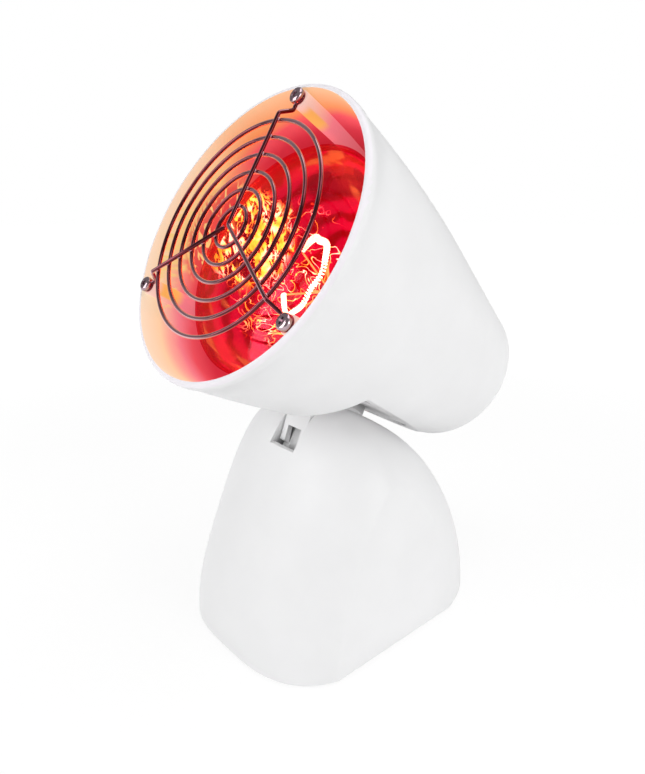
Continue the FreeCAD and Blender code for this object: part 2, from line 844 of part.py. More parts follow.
def flank(inset, start):
    """Corners of the shade's flank and tail from a starting station, moved in by an inset."""
    inner_tail = size("tail_radius") - inset
    rear = size("shade_length") - inset
    turn = size("tail_round")
    return [
        (size("collar_radius") - inset, start, size("flank_curve") - inset),
        (size("flank_radius") - inset, size("flank_station")),
        (inner_tail + turn * 0.2, rear - turn, turn),
        (inner_tail - turn * 0.9, rear),
        (0, rear),
    ]


def shade_outside(name):
    """Solid bell with its rounded rim."""
    corners = [
        (0, 0),
        (size("lip_radius") - size("lip_round"), 0, size("lip_round")),
        (size("lip_radius"), size("lip_round")),
        (size("lip_radius"), size("collar_station") - 0.8),
    ]
    return revolved(name, "XY_Plane", "V_Axis", corners + flank(0, size("collar_station")))


def shade_inside(name, gap):
    """Hollow of the bell less a gap all round."""
    inset = size("shade_wall") + gap
    lip = size("mouth_radius") - gap
    step = size("collar_station")
    corners = [(0, -4), (lip, -4), (lip, step)]
    return revolved(name, "XY_Plane", "V_Axis", corners + flank(inset, step + size("shade_wall")))


def guard_angles():
    """Clock places of the three guard screws, from +X towards +Z: top, left, right."""
    return tuple(SIZES[name] for name in ("top_screw_angle", "left_screw_angle", "right_screw_angle"))


def on_circle(radius, degrees):
    """Across and up of a point on a circle about the shade's axis."""
    turn = math.radians(degrees)
    return dim(radius) * round(math.cos(turn), 6), dim(radius) * round(math.sin(turn), 6)


def cover_screw_places():
    """Across places and stations of the screws that hold the neck's cover."""
    front = (size("cover_screw_wide"), HINGE_STATION - size("cover_screw_ahead"))
    rear = (size("cover_screw_narrow"), size("flat_end") - size("cover_screw_inset"))
    return [(across * side, station) for across, station in (front, rear) for side in (-1, 1)]


def make_shade():
    """Bell shade with guard bosses, cover lugs, lampholder posts, air slots and the notch."""
    outer = shade_outside("BellOutside")
    skin = cut("BellSkin", outer, shade_inside("BellInside", 0))
    lift = FLAT_Z + size("cover_wall") + size("seat_gap")
    fittings = []
    tools = []
    for index, degrees in enumerate(guard_angles()):
        x, z = on_circle(SCREW_CIRCLE, degrees)
        start = size("boss_start")
        fittings.append(cylinder("Boss%d" % index, size("boss_radius"), size("boss_length"), x, start, z,
                                 "y"))
        web = size("boss_web") / 2
        x_side, z_side = on_circle(web, degrees + 90)
        rib = box("BossWeb%d" % index, (0, size("collar_radius") - SCREW_CIRCLE + web),
                  (0, size("boss_length")), (0, web * 2))
        fittings.append(place(rib, x - x_side, start, z - z_side, Vector(0, -1, 0), degrees))
        tools.append(cylinder("BossHole%d" % index, SMALL_THREAD, size("guard_screw_length"), x,
                              start - 1, z, "y"))
    for index, (x, station) in enumerate(cover_screw_places()):
        reach = size("collar_radius")
        half = size("lug_half_width")
        limits = (x - half, reach) if x.value > 0 else (-reach, x + half)
        lug = box("Lug%d" % index, limits, (station - half, station + half),
                  (lift, lift + size("lug_height")))
        fittings.append(lug)
        tools.append(cylinder("LugHole%d" % index, SMALL_THREAD, 30, x, station, FLAT_Z - 10, "z"))
    for index, side in enumerate((-1, 1)):
        x = size("bracket_foot") * side
        top = size("holder_end") + size("bracket_wall") + size("bracket_rise")
        fittings.append(cylinder("HolderPost%d" % index, size("holder_post_radius"),
                                 size("shade_length") - top - 1, x, top, 0, "y"))
        tools.append(cylinder("HolderPostHole%d" % index, SMALL_THREAD, size("holder_screw_length") + 2,
                              x, top - 1, 0, "y"))
    across = size("tail_ledge_half_width")
    ledge = box("TailLedge", (-across, across), (size("flat_end"), size("shade_length") - 1),
                (FLAT_Z - size("tail_ledge_below"), FLAT_Z + size("tail_ledge_above")))
    fittings.append(ledge)
    trimmed = common("BellTrimmed", fuse("BellFittings", *fittings), outer)
    run = size("notch_slope") * size("notch_depth")
    low = FLAT_Z - size("notch_depth")
    notch = padded("Notch", "YZ_Plane", [
        (size("notch_station") - run, low), (size("shade_length") + 20, low),
        (size("shade_length") + 20, FLAT_Z), (size("notch_station"), FLAT_Z)], 200)
    tools.append(notch)
    step = 360 / SIZES["tail_slot_count"]
    half = size("tail_slot_half_width")
    long = size("tail_slot_end") - size("tail_slot_start")
    for index in range(int(SIZES["tail_slot_count"])):
        turn = step * (index + 0.5)
        x, z = on_circle(size("tail_slot_start"), -turn)
        across, up = on_circle(half, -turn)
        slot = box("TailSlot%d" % index, (0, long), (0, 16), (0, half * 2))
        tools.append(place(slot, x + up, size("shade_length") - 8, z - across, Vector(0, 1, 0), turn))
    keep("shade_shell", cut("ShadeShell", fuse("BellWithFittings", skin, trimmed), *tools), True)


def make_neck():
    """Neck bracket: notch cover, hollow drum round the hinge bolt and the hub."""
    wall = size("cover_wall")
    run = size("notch_slope") * size("notch_depth")
    low = FLAT_Z - size("notch_depth")
    end = size("flat_end") - size("cover_end_gap")
    slant = wall * math.sqrt(1 + SIZES["notch_slope"] ** 2)
    station = size("notch_station")
    sheet_blank = padded("CoverSheet", "YZ_Plane", [
        (station - run, low), (station, FLAT_Z), (end, FLAT_Z), (end, FLAT_Z + wall),
        (station + wall * size("notch_slope") - slant, FLAT_Z + wall), (station - run - slant, low)], 200)
    cover = common("Cover", sheet_blank, shade_inside("CoverOutline", size("cover_gap")))
    lean = size("neck_lean")

    def side_outline(inset, top):
        """Side outline of the neck: straight front, round drum, short rear edge."""
        radius = size("drum_radius") - inset
        rise = top + DROP
        rear = HINGE_STATION + size("neck_behind") - inset
        shelf = radius * math.sqrt(1 - ((SIZES["neck_behind"] - dim(inset).value) / radius.value) ** 2)
        return [
            (HINGE_STATION - (radius + rise * sine(lean)) / cosine(lean), top),
            (HINGE_STATION - radius * cosine(lean), -DROP - radius * sine(lean), radius),
            (rear, shelf - DROP),
            (rear, top),
        ]

    neck_wall = size("neck_wall")
    solid = padded("NeckSolid", "YZ_Plane", side_outline(0, FLAT_Z + size("neck_root")),
                   size("neck_half_width") * 2)
    hollow = padded("NeckHollow", "YZ_Plane", side_outline(neck_wall, FLAT_Z + 6),
                    (size("neck_half_width") - neck_wall) * 2)
    hub = cylinder("NeckHub", size("hub_radius"), size("neck_half_width") * 2, -size("neck_half_width"),
                   HINGE_STATION, -DROP, "x")
    grip = cylinder("GripGroove", size("grip_half_width"), 60, 0, 0, 0)
    groove_y = HINGE_STATION - size("drum_radius") + size("grip_depth") - size("grip_half_width")
    place(grip, 0, groove_y, -DROP + size("grip_top") - 60)
    backing = box("GripBacking", (-size("neck_half_width") + 1, size("neck_half_width") - 1),
                  (HINGE_STATION - size("drum_radius") + 3, groove_y + size("grip_half_width") + neck_wall),
                  (-DROP - size("grip_backing_drop"), -DROP + size("grip_top") + neck_wall))
    half = size("neck_half_width") - neck_wall
    lead_way = box("LeadWay", (-half, half),
                   (HINGE_STATION - size("lead_way_ahead"), HINGE_STATION + size("lead_way_behind")),
                   (-DROP - 40, -DROP - size("lead_way_drop")))
    bore = cylinder("NeckBore", size("pin_radius") + size("pin_clearance"), 60, -30, HINGE_STATION,
                    -DROP, "x")
    arm = cut("NeckArm", solid, hollow)
    tools = [bore, lead_way, grip]
    for index, (x, place_y) in enumerate(cover_screw_places()):
        tools.append(cylinder("CoverHole%d" % index, SMALL_HOLE, 30, x, place_y, FLAT_Z - 10))
        tools.append(cylinder("CoverSink%d" % index, size("small_screw_head") + size("cover_sink_gap"),
                              10 + size("cover_screw_sink"), x, place_y, FLAT_Z - 10))
    rear = HINGE_STATION + size("neck_behind") - neck_wall
    tools.append(box("CoverOpening", (-half, half), (HINGE_STATION - size("cover_opening_ahead"), rear),
                     (FLAT_Z - 4, FLAT_Z + 6)))
    keep("neck_bracket", cut("NeckBracket", fuse("NeckWhole", cover, arm, hub, backing), *tools), True)
    screws = []
    for index, (x, place_y) in enumerate(cover_screw_places()):
        item = screw("CoverScrew%d" % index, size("small_screw_head"), size("small_screw_height"),
                     SMALL_SHANK, size("cover_screw_length"))
        screws.append(place(item, x, place_y, FLAT_Z + size("cover_screw_sink"), Vector(1, 0, 0), 90))
    keep("neck_screws", group("NeckScrews", screws), True)


# ---------------------------------------------------------------- guard
def tube(points, radius, bend):
    """Round wire along points, with each corner rounded by the bend radius."""
    edges = []
    start = points[0]
    for before, corner, after in zip(points, points[1:], points[2:]):
        back = (before - corner).normalize()
        onward = (after - corner).normalize()
        half = back.getAngle(onward) / 2
        reach = bend / math.tan(half)
        first = corner + back * reach
        last = corner + onward * reach
        centre = corner + (back + onward).normalize() * (bend / math.sin(half))
        middle = centre + (corner - centre).normalize() * bend
        edges.append(Part.LineSegment(start, first).toShape())
        edges.append(Part.Arc(first, middle, last).toShape())
        start = last
    edges.append(Part.LineSegment(start, points[-1]).toShape())
    path = Part.Wire(edges)
    section = Part.Wire(Part.Circle(points[0], points[1] - points[0], radius).toShape())
    return path.makePipeShell([section], True, False)


def leg_points(degrees):
    """Leg's centre line from near the hub outwards to its eye."""
    wire = SIZES["wire_radius"]
    end = SCREW_CIRCLE.value - SIZES["eye_radius"]
    turn = math.radians(degrees)
    way = Vector(math.cos(turn), 0, math.sin(turn))
    lift = Vector(0, 1, 0)
    ahead = -SIZES["guard_ahead"] - 2 * wire + SIZES["weld_depth"]
    seat = SIZES["boss_start"] - wire
    return [way * SIZES["leg_start"] + lift * ahead, way * (end - SIZES["leg_step"]) + lift * ahead,
            way * (end - SIZES["leg_land"]) + lift * seat, way * end + lift * seat]


def eye(name, degrees):
    """Closed wire eye round a guard screw."""
    x, z = on_circle(SCREW_CIRCLE, degrees)
    ring = doc.addObject("Part::Torus", name)
    bind(ring, "Radius1", size("eye_radius"))
    bind(ring, "Radius2", size("wire_radius"))
    return place(ring, x, size("boss_start") - size("wire_radius"), z, Vector(1, 0, 0), 90)


def make_guard():
    """Wire guard: rings, a two-armed leg wire, a single leg wire and their screws."""
    wire = SIZES["wire_radius"]
    ahead = -size("guard_ahead")
    count = int(SIZES["ring_count"])
    span = SCREW_CIRCLE - size("ring_edge_gap") - size("first_ring")
    for index in range(count):
        radius = size("first_ring") + span * index / (count - 1)
        body = new_body("GuardRing%d" % (index + 1))
        sketch = new_sketch(body, "XY_Plane")
        centre = Vector(radius.value, ahead.value, 0)
        sketch.addGeometry(Part.Circle(centre, Vector(0, 0, 1), wire))
        hold_point(sketch, 0, 3, radius, ahead)
        bow = sketch.addConstraint(Sketcher.Constraint("Radius", 0, wire))
        sketch.setExpression("Constraints[%d]" % bow, size("wire_radius").text)
        turn = body.newObject("PartDesign::Revolution", body.Name + "Turn")
        turn.Profile = sketch
        turn.ReferenceAxis = (sketch, ["V_Axis"])
        turn.Angle = 360
        keep("guard_ring_%d" % (index + 1), body, True)
    top, left, right = guard_angles()
    middle = Vector(0, leg_points(top)[0].y, 0)
    two_armed = list(reversed(leg_points(top)[1:])) + [middle] + leg_points(right)[1:]
    pair = solid_feature("LegPairWire", tube(two_armed, wire, SIZES["leg_bend"]))
    single = solid_feature("LegWire", tube(leg_points(left), wire, SIZES["leg_bend"]))
    keep("guard_leg_pair", fuse("LegPair", pair, eye("TopEye", top), eye("RightEye", right)), True)
    keep("guard_leg_single", fuse("LegSingle", single, eye("LeftEye", left)), True)
    screws = []
    for index, degrees in enumerate(guard_angles()):
        x, z = on_circle(SCREW_CIRCLE, degrees)
        item = screw("GuardScrew%d" % index, size("guard_screw_head"), size("guard_screw_height"),
                     SMALL_SHANK, size("guard_screw_length"))
        screws.append(place(item, x, size("boss_start") - size("wire_radius") * 2, z))
    keep("guard_screws", group("GuardScrews", screws), True)


# ---------------------------------------------------------------- lamp
def bulb_outline(inset):
    """Corners of the bulb's glass from the middle of its face to its neck."""
    face = size("bulb_face") + inset
    return [
        (0, face, size("bulb_face_bow") - inset),
        (size("bulb_radius") - size("face_edge_inset") - inset * 0.6,
         face + size("face_edge_rise") - inset * 0.2, size("face_edge_round") - inset),
        (size("bulb_radius") - inset, size("bulb_edge") - 1),
        (size("bulb_radius") - inset, size("bulb_edge") + 2, size("bulb_bow") - inset),
        (size("bulb_waist_radius") - inset, size("bulb_waist")),
        (size("bulb_neck_radius") - inset, size("bulb_neck") - size("neck_straight")),
        (size("bulb_neck_radius") - inset, size("bulb_neck") + size("neck_seal")),
    ]


def make_bulb():
    """Reflector bulb: glass, mirror film, cap, contact, stem, supports and filament."""
    wall = size("glass_wall")
    neck_end = size("bulb_neck") + size("neck_seal")
    outside = revolved("BulbOutside", "XY_Plane", "V_Axis", bulb_outline(0) + [(0, neck_end)])
    corners = bulb_outline(wall)
    corners[-1] = (corners[-1][0], neck_end + 5)
    inside = revolved("BulbInside", "XY_Plane", "V_Axis", corners + [(0, neck_end + 5)])
    keep("bulb_glass", cut("BulbGlass", outside, inside), True)

    rim = size("bulb_radius") - wall - size("film_gap")
    waist = size("bulb_waist_radius") - wall - size("film_gap")
    edge = size("bulb_edge") + 2
    film = size("film_wall")
    bow = size("bulb_bow") - wall
    keep("bulb_mirror", revolved("BulbMirror", "XY_Plane", "V_Axis", [
        (rim, edge, bow), (waist, size("bulb_waist")),
        (waist - film, size("bulb_waist"), -bow), (rim - film, edge)]), True)

    cap = size("cap_radius")
    shell = size("cap_wall")
    end = size("cap_end")
    seal = end + size("cap_cone")
    seal_back = seal - size("cap_seal_wall")
    keep("bulb_cap", revolved("BulbCap", "XY_Plane", "V_Axis", [
        (cap - shell, size("cap_start")), (cap, size("cap_start")), (cap, end),
        (size("cap_cone_radius"), seal),
        (size("cap_seal_radius"), seal), (size("cap_seal_radius"), seal_back),
        (size("cap_cone_radius") - 0.6, seal_back), (cap - shell, end - 1)]), True)
    contact = size("contact_radius")
    contact_end = end + 1 + size("contact_length")
    keep("bulb_contact", revolved("BulbContact", "XY_Plane", "V_Axis", [
        (0, end + 1), (contact, end + 1), (contact, contact_end - size("contact_step")),
        (size("contact_tip"), contact_end), (0, contact_end)]), True)
    keep_filament(size("bulb_waist") - size("stem_ahead"))


def keep_filament(stem_start):
    """Stem, support wires and the open filament loop across the bulb's axis."""
    neck_end = size("bulb_neck") + size("neck_seal")
    stem = revolved("StemGlass", "XY_Plane", "V_Axis", [
        (0, stem_start), (size("stem_radius"), stem_start),
        (size("stem_radius"), size("bulb_neck") - size("stem_flare")),
        (size("stem_foot_radius"), neck_end), (0, neck_end)])
    station = SIZES["bulb_waist"] - SIZES["filament_ahead"]
    ahead = station - SIZES["filament_wire"] - SIZES["support_wire"] * 0.7
    runs = int(SIZES["filament_runs"])
    first = SIZES["filament_gap_angle"] - 180
    corners = []
    for index in range(runs + 1):
        turn = math.radians(first - 2 * first * index / runs)
        corners.append(Vector(SIZES["filament_half_width"] * math.cos(turn), ahead,
                              SIZES["filament_half_height"] * math.sin(turn)))
    supports = []
    for index, corner in enumerate(corners):
        if index in (1, runs - 1):
            continue
        way = Vector(corner.x, 0, corner.z).normalize() * SIZES["stem_radius"] * 0.6
        foot = way + Vector(0, stem_start.value + SIZES["support_root"], 0)
        knee = way + Vector(0, stem_start.value - SIZES["support_root"], 0)
        tip = Vector(corner.x, station, corner.z)
        supports.append(solid_feature("Support%d" % index,
                                      tube([foot, knee, tip], SIZES["support_wire"],
                                           SIZES["support_bend"])))
    keep("bulb_stem", cut("BulbStem", stem, *supports), True)
    keep("filament_supports", group("FilamentSupports", supports), True)
    keep("filament", solid_feature("Filament", tube(corners, SIZES["filament_wire"],
                                              SIZES["filament_bend"])), True)


def make_lampholder():
    """Lampholder: ceramic cup, threaded sleeve, centre contact, bracket and screws."""
    radius = size("holder_radius")
    bore = size("holder_bore")
    start = size("holder_start")
    end = size("holder_end")
    floor = end - size("holder_floor")
    edge = size("holder_edge")
    across = size("holder_screw_across")
    cup = revolved("HolderCup", "XY_Plane", "V_Axis", [
        (bore, start), (radius - edge, start), (radius, start + edge), (radius, end), (0, end), (0, floor),
        (bore, floor)])
    holes = [cylinder("CupHole%d" % index, SMALL_THREAD, size("holder_screw_length") + 1, 0,
                      end - size("holder_screw_length"), across * side, "y")
             for index, side in enumerate((-1, 1))]
    keep("lampholder_body", cut("LampholderBody", cup, *holes), True)
    sleeve = bore - size("sleeve_gap")
    sleeve_start = start + size("sleeve_start")
    sleeve_end = floor - size("sleeve_end")
    keep("lampholder_sleeve", revolved("LampholderSleeve", "XY_Plane", "V_Axis", [
        (sleeve - size("sleeve_wall"), sleeve_start), (sleeve, sleeve_start), (sleeve, sleeve_end),
        (sleeve - size("sleeve_wall"), sleeve_end)]), True)
    touch = size("cap_end") + 1 + size("contact_length") + size("contact_gap")
    keep("lampholder_contact", revolved("LampholderContact", "XY_Plane", "V_Axis", [
        (0, touch), (size("contact_radius"), touch), (size("holder_contact_radius"), floor),
        (0, floor)]), True)

    wall = size("bracket_wall")
    reach = size("bracket_reach")
    rise = end + size("bracket_rise")
    foot = size("bracket_foot") + size("bracket_foot_end")
    hat = padded("BracketHat", "XY_Plane", [
        (-foot, rise), (-reach - wall, rise), (-reach - wall, end), (reach + wall, end),
        (reach + wall, rise), (foot, rise), (foot, rise + wall), (reach, rise + wall),
        (reach, end + wall), (-reach, end + wall), (-reach, rise + wall), (-foot, rise + wall)],
        (size("bracket_half_height") + size("bracket_side")) * 2)
    tools = [cylinder("BracketLead", size("bracket_lead_radius"), 20, 0, end - 5, 0, "y")]
    holder_screws = []
    bracket_screws = []
    for index, side in enumerate((-1, 1)):
        tools.append(cylinder("BracketCupHole%d" % index, SMALL_HOLE, 8, 0, end - 2, across * side, "y"))
        x = size("bracket_foot") * side
        tools.append(cylinder("BracketFootHole%d" % index, SMALL_HOLE, 8, x, rise - 3, 0, "y"))
        item = screw("HolderScrew%d" % index, size("small_screw_head"), size("small_screw_height"),
                     SMALL_SHANK, size("holder_screw_length"))
        holder_screws.append(place(item, 0, end + wall, across * side, Vector(0, 0, 1), 180))
        item = screw("BracketScrew%d" % index, size("small_screw_head"), size("small_screw_height"),
                     SMALL_SHANK, size("holder_screw_length"))
        bracket_screws.append(place(item, x, rise, 0))
    keep("lampholder_bracket", cut("LampholderBracket", hat, *tools), True)
    keep("lampholder_screws", group("HolderScrews", holder_screws), True)
    keep("bracket_screws", group("BracketScrews", bracket_screws), True)


# ---------------------------------------------------------------- build, check and write
def build():
    fill_sheet()
    make_stand_shell()
    make_base_plate()
    make_feet_and_screws()
    make_ballast()
    make_hinge()
    make_switch()
    make_gland()
    make_terminals()
    make_shade()
    make_neck()
    make_guard()
    make_bulb()
    make_lampholder()
    doc.recompute()


def check():
    """Stop if any object failed or any sub-part's shape is missing or invalid."""
    for item in doc.Objects:
        if "Invalid" in item.State or "Error" in item.State:
            raise RuntimeError("%s failed: %s" % (item.Name, item.State))
    for node, item in NODES.items():
        if item.Shape.isNull() or not item.Shape.isValid() or not item.Shape.Solids:
            raise RuntimeError("%s has no valid solid" % node)


def write():
    os.makedirs("parts", exist_ok=True)
    for node, item in NODES.items():
        item.Shape.exportStep(os.path.join("parts", node + ".step"))
        box_ = item.Shape.BoundBox
        print("%-20s solids %d volume %10.1f  x %7.2f %7.2f  y %7.2f %7.2f  z %7.2f %7.2f" % (
            node, len(item.Shape.Solids), item.Shape.Volume, box_.XMin, box_.XMax, box_.YMin, box_.YMax,
            box_.ZMin, box_.ZMax))


build()
check()
write()
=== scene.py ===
"""Looks of the infrared heat therapy lamp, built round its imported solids.

Distances are in metres. Head pieces are described in the head's own frame: the origin is the
centre of the mouth, +Y runs from the mouth to the rear and +Z towards the top guard screw.
"""
import sys

import logging
import math
from dataclasses import dataclass
from enum import Enum, IntEnum

import bmesh
import bpy
from mathutils import Matrix, Vector


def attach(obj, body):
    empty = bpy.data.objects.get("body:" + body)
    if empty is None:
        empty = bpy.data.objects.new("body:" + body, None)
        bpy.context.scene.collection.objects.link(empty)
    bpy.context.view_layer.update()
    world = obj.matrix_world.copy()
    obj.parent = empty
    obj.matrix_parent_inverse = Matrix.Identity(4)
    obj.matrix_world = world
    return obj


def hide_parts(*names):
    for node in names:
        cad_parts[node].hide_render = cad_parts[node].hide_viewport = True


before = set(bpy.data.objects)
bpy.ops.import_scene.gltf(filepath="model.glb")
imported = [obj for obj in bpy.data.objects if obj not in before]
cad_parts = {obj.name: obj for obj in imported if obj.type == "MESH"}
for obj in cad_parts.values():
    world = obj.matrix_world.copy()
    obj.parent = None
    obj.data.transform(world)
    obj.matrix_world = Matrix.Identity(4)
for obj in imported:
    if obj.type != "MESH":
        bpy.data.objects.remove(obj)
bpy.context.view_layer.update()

log = logging.getLogger("lamp")
MM = 0.001
REST_TILT = math.radians(30.56)
MOUTH_CENTRE = Vector((0.0, -0.069512, 0.212988))
HEAD = Matrix.Translation(MOUTH_CENTRE) @ Matrix.Rotation(-REST_TILT, 4, "X")
GUARD_ANGLES = (88, 210, 328)
BOSS_START = 1.8 * MM
SCREW_CIRCLE = 65.6 * MM

BLACK = (0.0, 0.0, 0.0)
WHITE = (1.0, 1.0, 1.0)
NOISE_LOW, NOISE_HIGH = 0.3, 0.7
FINE_GRAIN = 2600.0
GRAIN_RELIEF = 0.05
GRAIN_HEIGHT = 0.00004
PAINTED_GLINT_SCALE = (150.0, 260.0, 105.0)

SHELL_CREASE, GLASS_CREASE, WIRE_CREASE = 22, 40, 60
COPY_WELD, NEW_WELD = 0.000002, 0.000001

Mesh = bpy.types.Mesh
Material = bpy.types.Material
Socket = bpy.types.NodeSocket
Axes = tuple[Socket, Socket, Socket]
Value = Socket | float
Pair = tuple[float, float]
Triple = tuple[float, float, float]
Colour = tuple[float, float, float]


class Tone(Enum):
    """Colours that the lamplight makes on the plastic inside the mouth."""

    CREAM = (0.96, 0.78, 0.58)
    SAND = (0.94, 0.68, 0.42)
    STRAW = (0.90, 0.66, 0.24)
    APRICOT = (0.92, 0.58, 0.33)
    AMBER = (0.96, 0.48, 0.12)
    ORANGE = (0.90, 0.32, 0.11)
    BLUSH = (0.94, 0.62, 0.54)
    PINK = (0.93, 0.45, 0.36)
    ROSE = (0.90, 0.23, 0.28)
    SCARLET = (0.85, 0.09, 0.12)
    BRICK = (0.66, 0.11, 0.13)
    CRIMSON = (0.66, 0.03, 0.055)
    MAROON = (0.50, 0.015, 0.03)


Stops = tuple[tuple[float, Tone | Colour], ...]


class Body(Enum):
    """The lamp's moving bodies."""

    STAND = "stand"
    ROCKER = "rocker"
    HEAD = "head"


class ShadeFinish(IntEnum):
    """Numbers of the shade's material slots."""

    WHITE = 0
    WALL = 1
    BOSS = 2
    RIM = 3


@dataclass(frozen=True)
class Patch:
    """Ellipsoid in the head's frame, in which a colour or a pattern shows."""

    centre: Triple
    reach: Triple
    fade: Pair = (0.6, 1.15)


class Graph:
    """A material's node tree, with short calls for the nodes that the finishes use."""

    def __init__(self, name: str) -> None:
        """Start an empty material called name."""
        self.material = bpy.data.materials.new(name)
        self.material.use_nodes = True
        self.tree = self.material.node_tree
        self.tree.nodes.clear()
        self.place = self.node("ShaderNodeTexCoord").outputs["Object"]

    def node(self, kind: str, **settings) -> bpy.types.Node:
        """Add a node and set its properties."""
        item = self.tree.nodes.new(kind)
        for key, value in settings.items():
            setattr(item, key, value)
        return item

    def feed(self, socket: Socket, value: Value | Triple) -> None:
        """Link a socket into another one, or write a plain value there."""
        if isinstance(value, bpy.types.NodeSocket):
            self.tree.links.new(value, socket)
        elif isinstance(value, tuple) and socket.type == "RGBA":
            socket.default_value = (*value, 1.0)
        else:
            socket.default_value = value

    def math(self, operation: str, first: Value, second: Value = 0.0,
             third: Value = 0.0) -> Socket:
        """Result of a math node for up to three values or sockets."""
        item = self.node("ShaderNodeMath", operation=operation)
        for socket, value in zip(item.inputs, (first, second, third)):
            self.feed(socket, value)
        return item.outputs[0]

    def product(self, first: Value, second: Value) -> Socket:
        """Multiply two values."""
        return self.math("MULTIPLY", first, second)

    def larger(self, first: Value, second: Value) -> Socket:
        """Take the larger of two values."""
        return self.math("MAXIMUM", first, second)

    def span(self, value: Value, low: float, high: float, start: float = 0.0,
             end: float = 1.0) -> Socket:
        """Map a value smoothly from low..high to start..end."""
        item = self.node("ShaderNodeMapRange", interpolation_type="SMOOTHSTEP")
        for socket, number in zip(item.inputs, (value, low, high, start, end)):
            self.feed(socket, number)
        return item.outputs[0]

    def noise(self, scale: float, detail: float = 3.0, distortion: float = 0.0,
              vector: Socket | None = None) -> Socket:
        """Draw noise.

        Args:
            scale: lumps per metre, or 1 where the vector is stretched already.
            detail: number of finer layers.
            distortion: how far the pattern is swirled.
            vector: coordinates, the object's own if left out.

        Returns:
            The noise value's socket.
        """
        item = self.node("ShaderNodeTexNoise")
        self.feed(item.inputs["Vector"], vector or self.place)
        self.feed(item.inputs["Scale"], scale)
        self.feed(item.inputs["Detail"], detail)
        self.feed(item.inputs["Distortion"], distortion)
        return item.outputs[0]

    def stretched_noise(self, scale: Triple, detail: float, distortion: float) -> Socket:
        """Noise whose lumps are longer on one axis than on another."""
        item = self.node("ShaderNodeMapping")
        self.feed(item.inputs["Vector"], self.place)
        item.inputs["Scale"].default_value = scale
        return self.noise(1.0, detail, distortion, item.outputs[0])

    def ramp(self, value: Value, *stops: tuple[float, Tone | Colour]) -> Socket:
        """Colour that runs through stops as value goes from 0 to 1."""
        item = self.node("ShaderNodeValToRGB")
        self.feed(item.inputs[0], value)
        elements = item.color_ramp.elements
        while len(elements) < len(stops):
            elements.new(1.0)
        for element, (position, colour) in zip(elements, stops):
            element.position = position
            element.color = (*(colour.value if isinstance(colour, Tone) else colour), 1.0)
        return item.outputs[0]

    def mix(self, share: Value, first: Socket | Colour, second: Socket | Colour) -> Socket:
        """Colour between first and second."""
        item = self.node("ShaderNodeMix", data_type="RGBA")
        sockets = item.inputs[0], item.inputs[6], item.inputs[7]
        for socket, value in zip(sockets, (share, first, second)):
            self.feed(socket, value)
        return item.outputs[2]

    def bump(self, height: Value, strength: float, distance: float) -> Socket:
        """Normal with a fine relief."""
        item = self.node("ShaderNodeBump")
        self.feed(item.inputs["Strength"], strength)
        self.feed(item.inputs["Distance"], distance)
        self.feed(item.inputs["Height"], height)
        return item.outputs[0]

    def shader(self, kind: str, **inputs: Value | Colour) -> Socket:
        """Add a shader node and feed its named inputs, written with _ for a space."""
        item = self.node("ShaderNode" + kind)
        for key, value in inputs.items():
            self.feed(item.inputs[key.replace("_", " ")], value)
        return item.outputs[0]

    def blend(self, share: Value, first: Socket, second: Socket) -> Socket:
        """Mix two shaders."""
        item = self.node("ShaderNodeMixShader")
        for socket, value in zip(item.inputs, (share, first, second)):
            self.feed(socket, value)
        return item.outputs[0]

    def region(self, point: Axes, patch: Patch) -> Socket:
        """Share from 1 at a patch's centre to 0 past its surface."""
        total = 0.0
        for part, middle, half in zip(point, patch.centre, patch.reach):
            offset = self.math("DIVIDE", self.math("SUBTRACT", part, middle), half)
            total = self.math("ADD", self.product(offset, offset), total)
        return self.span(total, *patch.fade, 1.0, 0.0)

    def finish(self, shader: Socket) -> Material:
        """Send a shader to the output and return the material."""
        self.feed(self.node("ShaderNodeOutputMaterial").inputs["Surface"], shader)
        return self.material

    def principled(self, **inputs: Value | Colour) -> Material:
        """Finish with a principled shader that has the named inputs."""
        return self.finish(self.shader("BsdfPrincipled", **inputs))

    def head_axes(self) -> Axes:
        """Across, station and rise of the shaded point in the head's frame."""
        item = self.node("ShaderNodeMapping", vector_type="TEXTURE")
        self.feed(item.inputs["Vector"], self.place)
        item.inputs["Location"].default_value = MOUTH_CENTRE
        item.inputs["Rotation"].default_value = (-REST_TILT, 0.0, 0.0)
        parts = self.node("ShaderNodeSeparateXYZ")
        self.feed(parts.inputs[0], item.outputs[0])
        return parts.outputs[0], parts.outputs[1], parts.outputs[2]


